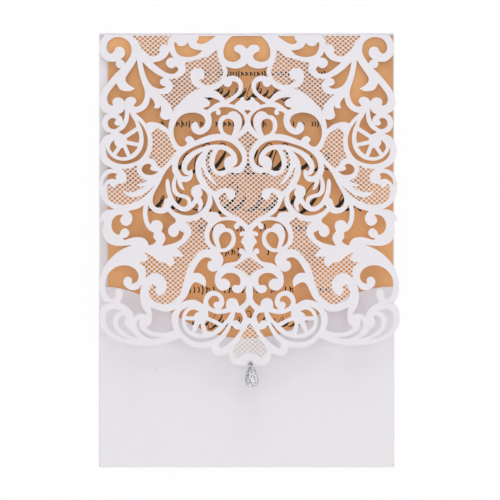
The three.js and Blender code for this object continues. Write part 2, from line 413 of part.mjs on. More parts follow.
const sideFields = {
  fanField: [
    [12.6, 6.8, TIP], [14.2, 8.5], [16.3, 10.1], [20, 11.2], [23.4, 12.3], [26.5, 12.8, TIP],
    [25.9, 15.4], [26.8, 17.8], [29.2, 19.3], [33.1, 19.9, TIP], [31.5, 21.8], [31.7, 24.2],
    [33.4, 25.9], [36.7, 26.4, TIP], [34.2, 28.7], [32.4, 31.2], [31.5, 33.6, TIP],
    [29.4, 31], [26.6, 27.9], [23.4, 25.4], [19.8, 23.9, TIP], [22, 22.6], [23.6, 20.6],
    [24, 18.2], [23.2, 16], [21.2, 15.2], [18.9, 15.8], [17.9, 17.8], [18.7, 19.6],
    [20.9, 20.3, TIP], [18.9, 21.8], [16, 22.4], [13, 21.4], [10.8, 19.4], [10, 16.8],
    [10.8, 14.3], [12.1, 11.3],
  ],
  cornerField: [
    [31.9, 1.3, TIP], [48.6, 1.3, TIP], [46.4, 3.5], [44.5, 6.6], [42.5, 9], [40.4, 10.1],
    [38, 9.7], [36.8, 8.3], [36.9, 6.6], [35.4, 5], [33.3, 5.5, TIP], [33.2, 3.2],
  ],
  leafField: [
    [38.4, 40.4, TIP], [39.6, 41.6], [40.6, 43.1, TIP], [40.1, 45.4], [40.2, 48.6],
    [40.8, 51], [41.9, 53.2, TIP], [39.6, 54.1], [38.3, 55.8], [37.7, 57.6, TIP],
    [35.6, 57], [32.8, 54], [29.8, 50.4, TIP], [31.8, 48], [32.7, 45.4], [34.6, 42.8],
    [36.8, 41.4],
  ],
  sideField: [
    [46.6, 56.3, TIP], [49.2, 57.6], [53.2, 58, TIP], [51.4, 60], [51.2, 62.8],
    [52.8, 64.1], [55.2, 64.3, TIP], [56.8, 65.8], [58.9, 63.8, TIP], [59.5, 67.2],
    [58.7, 70.5], [56.2, 72.5], [52.6, 73.2], [48.6, 72.4], [44.6, 70.4], [41.4, 67.6],
    [39.2, 64.9, TIP], [42.4, 67.6], [45.6, 69.4], [48.6, 69.9], [51, 69.1], [52.8, 67.2, TIP],
    [49.8, 67.9], [46.4, 67.1], [43.5, 65.4, TIP], [46.9, 65.2, TIP], [45, 64.2],
    [42.4, 63.1, TIP], [45, 61.5], [46.5, 59],
  ],
  lowerField: [
    [19.6, 78.2, TIP], [21.8, 79.6], [26.5, 80.4, TIP], [24.6, 82.4], [24.1, 85],
    [25.6, 87.9], [30, 91.5, TIP], [28.4, 93.1], [27.7, 95, TIP], [31.9, 94.8, TIP],
    [31.4, 97], [32.6, 99], [35.1, 97.2, TIP], [36.6, 97.3], [40.2, 95], [43.7, 93, TIP],
    [42, 96.1, TIP], [45.7, 97.5, TIP], [43.9, 99.3], [43.1, 101.4], [43.3, 103.8, TIP],
    [40.6, 102], [37.8, 102], [35.4, 103.9], [34.4, 106.8], [35.2, 109.7], [37.6, 111.5, TIP],
    [39.2, 109.6], [39, 107.4], [40.2, 106.1, TIP], [41.8, 108.6], [41.8, 111.2],
    [39.6, 113.6], [36.2, 114.7], [32.6, 114.1], [29.6, 111.5], [28.1, 108], [26.7, 103.2],
    [25.6, 99.4], [22.8, 95.1], [19.8, 92.2], [16, 91.7, TIP], [17.9, 89.3], [18.7, 86.2],
    [18, 83.1], [16.9, 80.4, TIP], [18.2, 79.3],
  ],
};

// Keeps only the points where the line bends away from a straight chord
function keepBends(points) {
  const start = points[0];
  const end = points[points.length - 1];
  const chord = end.clone().sub(start);
  const away = points.map((p) => Math.abs(chord.cross(p.clone().sub(start))) / chord.length());
  const furthest = away.indexOf(Math.max(...away));
  if (away[furthest] < CHORD_TOLERANCE) return [start, end];
  const before = keepBends(points.slice(0, furthest + 1));
  return [...before, ...keepBends(points.slice(furthest)).slice(1)];
}

// Smooth closed line through the points
function smoothLine(points) {
  const count = points.length;
  const at = (i) => points[(i + count) % count];
  const spot = (i) => new THREE.Vector2(at(i)[0], at(i)[1]);
  const line = [];
  for (let i = 0; i < count; i += 1) {
    const start = spot(i);
    const end = spot(i + 1);
    const chord = end.clone().sub(start);
    const leave = at(i)[2] ? chord.clone() : end.clone().sub(spot(i - 1)).multiplyScalar(0.5);
    const arrive = at(i + 1)[2] ? chord.clone() : spot(i + 2).sub(start).multiplyScalar(0.5);
    leave.setLength(Math.min(leave.length(), chord.length()));
    arrive.setLength(Math.min(arrive.length(), chord.length()));
    const curve = new THREE.CubicBezierCurve(
      start,
      start.clone().addScaledVector(leave, 1 / 3),
      end.clone().addScaledVector(arrive, -1 / 3),
      end,
    );
    line.push(...curve.getPoints(CURVE_STEPS).slice(0, -1));
  }
  return keepBends(line);
}

// A right half closed by its mirror image; the first and last points lie on the axis
function withMirror(half) {
  const mirrored = half
    .slice(1, -1)
    .reverse()
    .map(([across, down, tip]) => [-across, down, tip]);
  return [...half, ...mirrored];
}

const acrossScale = CARD_WIDTH / 2 / LACE_HALF_WIDTH;
const downScale = FLAP_LENGTH / LACE_LENGTH;

// A flat prism of a lace outline, between two heights
function lacePrism(points, bottom, top, side = 1) {
  const line = smoothLine(points);
  const scaled = line.map((p) => new THREE.Vector2(p.x * acrossScale * side, -p.y * downScale));
  const geometry = new THREE.ExtrudeGeometry(new THREE.Shape(scaled), {
    depth: top - bottom,
    bevelEnabled: false,
  });
  geometry.translate(0, 0, bottom);
  return toSolid(geometry);
}

const foldRadius = FOLD_INSIDE + PAPER;
const foldCentreY = CARD_HEIGHT / 2 - foldRadius;
const foldCentreZ = foldRadius;
const pocketBottom = foldCentreZ + FOLD_INSIDE;
const pocketTop = pocketBottom + PAPER;
const flapStart = foldRadius - FOLD_INSIDE * Math.sin(FLAP_LIFT);
const mouthSideY = POCKET_SIDE_HEIGHT - CARD_HEIGHT / 2;
const sideOutside = (pocketTop - PAPER) / 2;
const sideInside = sideOutside - PAPER;
const sideCentreX = CARD_WIDTH / 2 - sideOutside;
const sideCentreZ = PAPER + sideOutside;

// Lattice bars: two sets of parallel strips, crossing into rhombic gaps
function latticeBars() {
  const reach = LACE_LENGTH * 3;
  const slant = Math.atan2(LATTICE_PITCH_DOWN, LATTICE_PITCH_ACROSS);
  const spacing = LATTICE_PITCH_DOWN * Math.cos(slant);
  const count = Math.ceil(LACE_LENGTH / spacing);
  const sets = [-1, 1].map((side) => {
    const set = [];
    for (let i = -count; i < count; i += 1) {
      const bar = new THREE.BoxGeometry(reach, LATTICE_BAR, PAPER * 8);
      bar.translate(0, (i + 0.5) * spacing, 0);
      bar.rotateZ(slant * side);
      bar.translate(0, -LATTICE_START * downScale, 0);
      set.push(toSolid(bar));
    }
    return set.reduce((all, bar) => all.add(bar));
  });
  return sets[0].add(sets[1]);
}

// The lace lies flat while it is cut
const laceStart = (flapStart - LACE_SINK) / downScale;
let lace = lacePrism(
  withMirror([[0, laceStart], [flapEdge[0][0], laceStart, TIP], ...flapEdge]),
  0,
  PAPER,
);
const cutFloor = -PAPER * 2;
const cutCeiling = PAPER * 3;
for (const half of middleOpenings) {
  lace = lace.subtract(lacePrism(withMirror(half), cutFloor, cutCeiling));
}
for (const points of Object.values(sideOpenings)) {
  lace = lace.subtract(lacePrism(points, cutFloor, cutCeiling));
  lace = lace.subtract(lacePrism(points, cutFloor, cutCeiling, -1));
}
const bars = latticeBars();
for (const half of middleFields) {
  lace = lace.subtract(lacePrism(withMirror(half), cutFloor, cutCeiling).subtract(bars));
}
for (const points of Object.values(sideFields)) {
  lace = lace.subtract(lacePrism(points, cutFloor, cutCeiling).subtract(bars));
  lace = lace.subtract(lacePrism(points, cutFloor, cutCeiling, -1).subtract(bars));
}

// Moves a geometry drawn on the flat flap to where the flap is
function ontoFlap(geometry) {
  geometry.translate(0, flapStart, 0);
  geometry.rotateX(-FLAP_LIFT);
  geometry.translate(
    0,
    CARD_HEIGHT / 2 - flapStart,
    foldCentreZ + FOLD_INSIDE * Math.cos(FLAP_LIFT),
  );
  return geometry;
}

const laceGeometry = toGeometry(lace);
laceGeometry.applyMatrix4(new THREE.Matrix4().makeShear(0, 0, -FLAP_RAKE, 0, 0, 0));
ontoFlap(laceGeometry);

// The folded strip seen from its end, drawn with Y to the right and Z up
const strip = new THREE.Shape();
const foldStop = Math.PI / 2 - FLAP_LIFT;
strip.moveTo(-foldCentreY, 0);
strip.lineTo(foldCentreY, 0);
strip.absarc(foldCentreY, foldCentreZ, foldRadius, -Math.PI / 2, foldStop, false);
strip.absarc(foldCentreY, foldCentreZ, FOLD_INSIDE, foldStop, -Math.PI / 2, true);
strip.lineTo(-foldCentreY, PAPER);
strip.absarc(-foldCentreY, foldCentreZ, FOLD_INSIDE, -Math.PI / 2, -Math.PI * 1.5, true);
strip.lineTo(mouthSideY, pocketBottom);
strip.lineTo(mouthSideY, pocketTop);
strip.lineTo(-foldCentreY, pocketTop);
strip.absarc(-foldCentreY, foldCentreZ, foldRadius, Math.PI / 2, Math.PI * 1.5, false);
const stripGeometry = new THREE.ExtrudeGeometry(strip, {
  depth: CARD_WIDTH,
  bevelEnabled: false,
  curveSegments: 10,
});
const endwise = new THREE.Matrix4().makeBasis(
  new THREE.Vector3(0, 1, 0),
  new THREE.Vector3(0, 0, 1),
  new THREE.Vector3(1, 0, 0),
);
stripGeometry.applyMatrix4(endwise);
stripGeometry.translate(-CARD_WIDTH / 2, 0, 0);

// The mouth of the pocket dips in one long curve
const mouth = new THREE.Shape();
const mouthEnd = sideCentreX - TAB_LAP * 2;
const shoulder = mouthEnd - MOUTH_SHOULDER;
const dipY = mouthSideY - MOUTH_DIP;
mouth.moveTo(-mouthEnd, mouthSideY);
mouth.bezierCurveTo(-shoulder, mouthSideY, -MOUTH_FLAT, dipY, 0, dipY);
mouth.bezierCurveTo(MOUTH_FLAT, dipY, shoulder, mouthSideY, mouthEnd, mouthSideY);
mouth.lineTo(mouthEnd, mouthSideY + PAPER);
mouth.lineTo(-mouthEnd, mouthSideY + PAPER);
const mouthCut = new THREE.ExtrudeGeometry(mouth, {
  depth: PAPER * 3,
  bevelEnabled: false,
  curveSegments: 24,
});
mouthCut.translate(0, 0, pocketBottom - PAPER);

// Each side of the pocket folds under and ends in a tab glued to the back
const sideStartY = -foldCentreY + CORNER_SLIT;
const sideLength = mouthSideY - sideStartY;
const tab = new THREE.Shape();
tab.moveTo(sideCentreX, pocketTop);
tab.absarc(sideCentreX, sideCentreZ, sideOutside, Math.PI / 2, -Math.PI / 2, true);
tab.lineTo(sideCentreX, PAPER - GLUE_SINK);
tab.lineTo(sideCentreX - TAB_WIDTH, PAPER - GLUE_SINK);
tab.lineTo(sideCentreX - TAB_WIDTH, PAPER * 2);
tab.absarc(sideCentreX, sideCentreZ, sideInside, -Math.PI / 2, Math.PI / 2, false);
tab.lineTo(sideCentreX, pocketBottom + TAB_INSET);
tab.lineTo(sideCentreX - TAB_LAP, pocketBottom + TAB_INSET);
tab.lineTo(sideCentreX - TAB_LAP, pocketTop - TAB_INSET);
tab.lineTo(sideCentreX, pocketTop - TAB_INSET);

function sideFold(turn) {
  const geometry = new THREE.ExtrudeGeometry(tab, {
    depth: sideLength,
    bevelEnabled: false,
    curveSegments: 8,
  });
  geometry.translate(0, 0, -sideLength / 2);
  geometry.rotateX(Math.PI / 2);
  geometry.rotateZ(turn);
  geometry.translate(0, sideStartY + sideLength / 2, 0);
  return toSolid(geometry);
}

function sideTrim(side) {
  const cut = new THREE.BoxGeometry(sideOutside * 2, sideLength * 2, PAPER * 3);
  cut.translate(
    side * (sideCentreX + sideOutside),
    sideStartY - CORNER_SLIT / 2 + sideLength,
    pocketBottom + PAPER / 2,
  );
  return toSolid(cut);
}

const wrap = toSolid(stripGeometry)
  .subtract(toSolid(mouthCut))
  .subtract(sideTrim(1))
  .subtract(sideTrim(-1))
  .add(sideFold(0))
  .add(sideFold(Math.PI))
  .add(toSolid(laceGeometry));
addMesh("wrap", toGeometry(wrap), pearl);

// The gold card stands on the bottom fold, pushed to the right
const insert = new THREE.BoxGeometry(INSERT_WIDTH, INSERT_HEIGHT, PAPER);
insert.translate(
  sideCentreX + sideInside - INSERT_SIDE_GAP - INSERT_WIDTH / 2,
  -CARD_HEIGHT / 2 + PAPER + INSERT_FOOT_GAP + INSERT_HEIGHT / 2,
  PAPER * 2 + REST_GAP + PAPER / 2,
);
addMesh("insert_card", insert, gold);

// The gem is a drop outline stepped in to a small table, with facets between
function dropRing(size, height, shift) {
  const radius = GEM_WIDTH / 2;
  const centre = GEM_LENGTH - radius;
  const open = Math.acos(radius / centre);
  const ring = [];
  const steps = 10;
  for (let i = 0; i <= steps; i += 1) {
    const sweep = (Math.PI - open) * 2;
    const angle = Math.PI / 2 + open + (sweep * (i + shift)) / (steps + shift * 2);
    ring.push([radius * Math.cos(angle), radius * Math.sin(angle)]);
  }
  ring.push([0, centre]);
  return ring.map(([x, y]) => new THREE.Vector3(x * size, y * size - centre, height));
}

const gem = new ConvexGeometry([
  ...dropRing(1, 0, 0),
  ...dropRing(1, GEM_GIRDLE, 0),
  ...dropRing((1 + GEM_TABLE) / 2, (GEM_GIRDLE + GEM_HEIGHT * 2) / 3, 0.5),
  ...dropRing(GEM_TABLE, GEM_HEIGHT, 0),
]);
gem.rotateZ(GEM_LEAN);
const gemDown = FLAP_LENGTH - GEM_LAP;
gem.translate(gemDown * FLAP_RAKE, -gemDown, PAPER + REST_GAP);
addMesh("drop_gem", ontoFlap(gem), silver);

export default group;
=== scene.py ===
"""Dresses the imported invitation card: fine lace, pearl and gold papers, ink and a gem."""

import math

import bmesh
import bpy
import numpy as np
from mathutils import Matrix, Vector
from mathutils.geometry import delaunay_2d_cdt


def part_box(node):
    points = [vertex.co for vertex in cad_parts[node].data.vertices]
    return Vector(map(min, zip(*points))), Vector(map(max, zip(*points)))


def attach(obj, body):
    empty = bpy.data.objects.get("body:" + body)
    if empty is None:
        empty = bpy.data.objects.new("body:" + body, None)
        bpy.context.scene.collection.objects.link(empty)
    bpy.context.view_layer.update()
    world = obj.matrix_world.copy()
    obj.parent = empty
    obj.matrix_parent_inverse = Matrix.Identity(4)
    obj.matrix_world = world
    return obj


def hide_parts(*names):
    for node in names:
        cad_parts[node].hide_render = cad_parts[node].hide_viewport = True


bl_info = {
    "name": "Invitation card",
    "version": (1, 0, 0),
    "blender": (4, 5, 0),
    "location": "3D View > Sidebar > Card",
    "description": "Builds the lace, papers, ink and gem of a pocket invitation card",
    "category": "Object",
}

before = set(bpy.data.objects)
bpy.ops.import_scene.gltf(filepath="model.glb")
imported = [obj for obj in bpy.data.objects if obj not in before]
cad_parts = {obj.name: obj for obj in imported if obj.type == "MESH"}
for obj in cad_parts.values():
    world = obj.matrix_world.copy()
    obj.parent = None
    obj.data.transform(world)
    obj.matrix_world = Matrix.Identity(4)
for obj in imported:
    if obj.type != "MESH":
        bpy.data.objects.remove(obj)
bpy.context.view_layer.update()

# Sizes of the solid model, in millimetres
MM = 0.001
CARD_HEIGHT = 184.0
PAPER = 0.3
FOLD_INSIDE = 0.6  # inner radius of the top fold
FOLD_RADIUS = 0.9  # its outer radius
LIFT = math.radians(3.7)  # how the flap rises from its fold
RAKE = math.tan(math.radians(0.62))  # how it lies out of square
FLAP_START = FOLD_RADIUS - FOLD_INSIDE * math.sin(LIFT)  # where it leaves its fold
LACE_SINK = 0.12  # the lace starts this far inside the end of the fold
FLAP_MARGIN = 0.02  # the fold keeps its corners that reach this far past the flap's start
FLAP_REACH = 0.1  # corners this near to the flap's faces belong to the flap
WELD = 0.000001  # corners nearer than this are one, in metres
LATTICE_COLUMNS = (-30, 31)  # cells that cover the flap, counted from the lattice's start
LATTICE_ROWS = (-25, 52)
POCKET_TOP = 1.8  # height of the pocket's face

# The gem, in millimetres
GEM_RIM = 0.95  # painted shade makes its facets darker below this height
GEM_FLANK = 5.4  # its flanks are fuller up to this far from its point
GEM_FULLER = (1.3, 1.56)  # how much fuller, and the power by which that fades
GEM_REFLECTION_TONES = (0.2, 0.3)  # painted reflection: tone of the facets at the point, and its gain in each millimetre
GEM_RIM_SHADE = 0.62  # what the rim keeps of it, as painted shade
GEM_SEED = 12
TABLE_RINGS = (0.45, 0.45)  # widths of the rings of facets in its table
FACET_EDGES = (1.6, 0.9)  # edges longer than this are halved, in two rounds
POKED_AREA = 0.12  # upper facets larger than this, in square millimetres, get a middle
POKE_DEPTH = 0.03  # that middle lies this much lower

# Painted shade on the gold card, deepest in a band high up the card: the range in metres, and the
# share of the shaded tone
GOLD_SHADE_RAMP = (-0.045, 0.092)
GOLD_SHADE_STOPS = [
    (place, (share, share, share, 1.0))
    for place, share in ((0.0, 0.0), (0.2, 0.0), (0.5, 0.14), (0.77, 0.46), (0.9, 0.46), (1.0, 0.2))
]

# Two brown specks on the pocket: where they are and how far they reach, in metres
SPECKS = [
    ((-0.0382, -0.0504, POCKET_TOP * MM), 0.00032),
    ((-0.0343, -0.0411, POCKET_TOP * MM), 0.00026),
]
SPECK_BROWN = (0.16, 0.09, 0.05, 1.0)

# Rows of printed ticks in millimetres: left end, right end, height on the card, size, seed
TICK_WIDTH = 0.54
TICK_ROWS = [
    (-20, 34, 74.6, 2.4, 3),
    (-36, 38, 53.4, 2.6, 5),
    (-20, 26, 9.2, 3.4, 7),
    (-18, 24, -0.8, 3.4, 9),
    (-30, 34, -16.8, 3.6, 11),
]
TICK_CHANCES = {"blank": 0.16, "short": 0.7, "crook": 0.5}
TICK_HEIGHTS = (0.75, 1.1)  # short and tall, against the size of the row, as are the lines below
TICK_LEAN = 0.16
TICK_CROOK = [(0, 0), (0.22, 0.2), (0.42, -0.3)]
TICK_STEPS = {"blank": 0.9, "crook": 0.3, "tick": 0.48}

# Pen flourishes: left end, right end, height on the card, tallness, loops, seed, press of the pen
PEN_WIDTH = 1.45
PEN_FLOURISHES = [
    (-16, 20, 66.6, 6.4, 11, 2, 0.7),
    (-30, 36, 37.0, 9.5, 10, 4, 1.0),
    (-40, 50, 20.0, 10.0, 13, 6, 1.0),
    (-24, 28, -30.6, 5.6, 17, 8, 0.55),
]
PEN_FLATNESS = 0.05  # height of a stroke against its width
PEN_GAP = 0.00001  # the strokes lie this far above the card, in metres
KNOTS = 8  # points of each loop
SWINGS = (0.45, 0.6, 0.75, 1.35)  # heights of the loops against the tallness

# The stage in metres: where each lamp hangs, its size and its share of the lamp power
LAMPS = {
    "foot_lamp": ((0.05, -0.95, 0.42), 1.2, 2.1),
    "head_lamp": ((0.1, 0.9, 0.5), 0.65, 1.4),
    "left_lamp": ((-0.90, 0.05, 0.60), 1.0, 0.7),
    "right_lamp": ((0.90, 0.05, 0.60), 0.8, 0.7),
    "fill_lamp": ((0.0, 0.0, 1.2), 1.2, 1.8),
}
FLOOR_REACH = 3.0
FLOOR_DROP = 0.0001  # the floor lies this far below the card
FLOOR_GLOW = 0.9  # share of plain white that the camera sees in the floor
EYE = (0.00142, 0.00008)  # where the camera hangs over the card
SENSOR = 36.0

# Lace outlines in millimetres: across from the middle, down from the fold; TIP marks a sharp corner
TIP = 1

# The right edge of the flap from the fold to the tip
FLAP_EDGE = [
  (60.3, 1.2, TIP), (61.4, 2.9), (62.1, 4.9), (62.3, 7.2),
  (61.7, 9.5), (60.2, 11.3), (58.2, 12.4), (55.1, 12.4, TIP), (55.5, 13.4), (54.7, 14.9),
  (53.2, 15.3, TIP), (55.6, 17.6), (58.6, 21.2), (60.8, 24.3), (62.1, 27.4), (62.4, 30.2),
  (61.8, 32.3), (60.6, 33.8), (58.8, 34.6, TIP), (60.2, 35.5), (61.2, 37.6), (61, 40.1),
  (59.8, 42), (57.4, 43, TIP), (59.6, 43.9), (61.4, 45.8), (62.4, 48.4), (62.4, 51.6),
  (61.3, 54.7), (59.5, 56.6), (56.7, 57.8, TIP), (59.2, 58.4), (61.2, 60.2), (62.3, 62.9),
  (62.5, 66), (61.9, 69.4), (60.7, 71.7), (58.9, 73.5), (56.3, 75, TIP), (59, 75.3),
  (61, 76.6), (62, 78.4), (62.4, 80.2, TIP), (60.5, 79.9, TIP), (61.1, 83.4), (60.9, 86),
  (59.6, 88.4), (57.6, 89.8), (54.4, 90.4), (48.6, 90, TIP), (52.6, 91.6), (56.4, 94.2),
  (59.4, 97.5), (61.3, 100.9), (62.4, 104.7), (62.5, 108.2), (62, 111.4), (60.8, 113.4),
  (56.4, 114.2, TIP), (60.6, 114.9), (62, 116.8), (62.5, 119.4), (62.4, 122.4), (61.4, 125),
  (59.4, 127.2), (56.6, 129.2),
  (52.6, 130.8), (48, 131.7), (43, 132), (38, 131.6), (33.2, 130.4), (28.8, 128.7, TIP),
  (27.2, 130.5), (24.6, 132), (21.4, 132.9), (18.6, 132.9), (16.1, 132.6, TIP), (15.7, 134.4),
  (14.4, 135.9), (12.2, 136.2), (8.7, 135.3, TIP), (8.5, 137.2), (7.6, 139), (5.8, 140),
  (3, 140.3), (0, 140.3),
]

# Openings that cross the middle: the right half of each, from axis to axis
MIDDLE_OPENINGS = [
  # crown scroll under the fold
  [
    (0, 1.4), (6.2, 1.5, TIP), (7.6, 2.9), (8.9, 4.7), (9.7, 6.8), (9.9, 8.6), (9.6, 10.4),
    (8.5, 11.8), (7.1, 12.4), (5.4, 12.5), (3.8, 11.9), (2.8, 10.9), (2.7, 9.7), (3.7, 8.6),
    (5, 8), (5.4, 6.8), (4.8, 5.7), (3.4, 5.2), (1.8, 5.4), (0, 6.9, TIP),
  ],
  # pillar below the crown
  [
    (0, 13, TIP), (0.8, 14.1), (2.2, 14.8), (4, 15.3), (6.6, 15.2), (9, 14.4, TIP),
    (8.3, 15.9), (8.3, 17.6), (8.9, 19, TIP), (7.4, 18.6), (5.8, 18.4), (4.2, 18.9),
    (2.8, 20), (1.9, 21.6), (1.8, 23.4), (2.3, 25.3), (3.4, 26.7), (5.7, 28.7),
    (8, 30.2, TIP), (5.5, 30.9, TIP), (4.6, 29.8), (3.4, 29), (2.6, 27.8), (1.5, 27.4, TIP),
    (1.2, 28.6), (0, 29.1),
  ],
  # small drop
  [(0, 33), (0.8, 33.1), (1.4, 33.5, TIP), (0, 35, TIP)],
  # drop above the lower heart
  [(0, 115, TIP), (2.1, 117.3, TIP), (0.8, 120.5, TIP), (0, 120.5)],
]

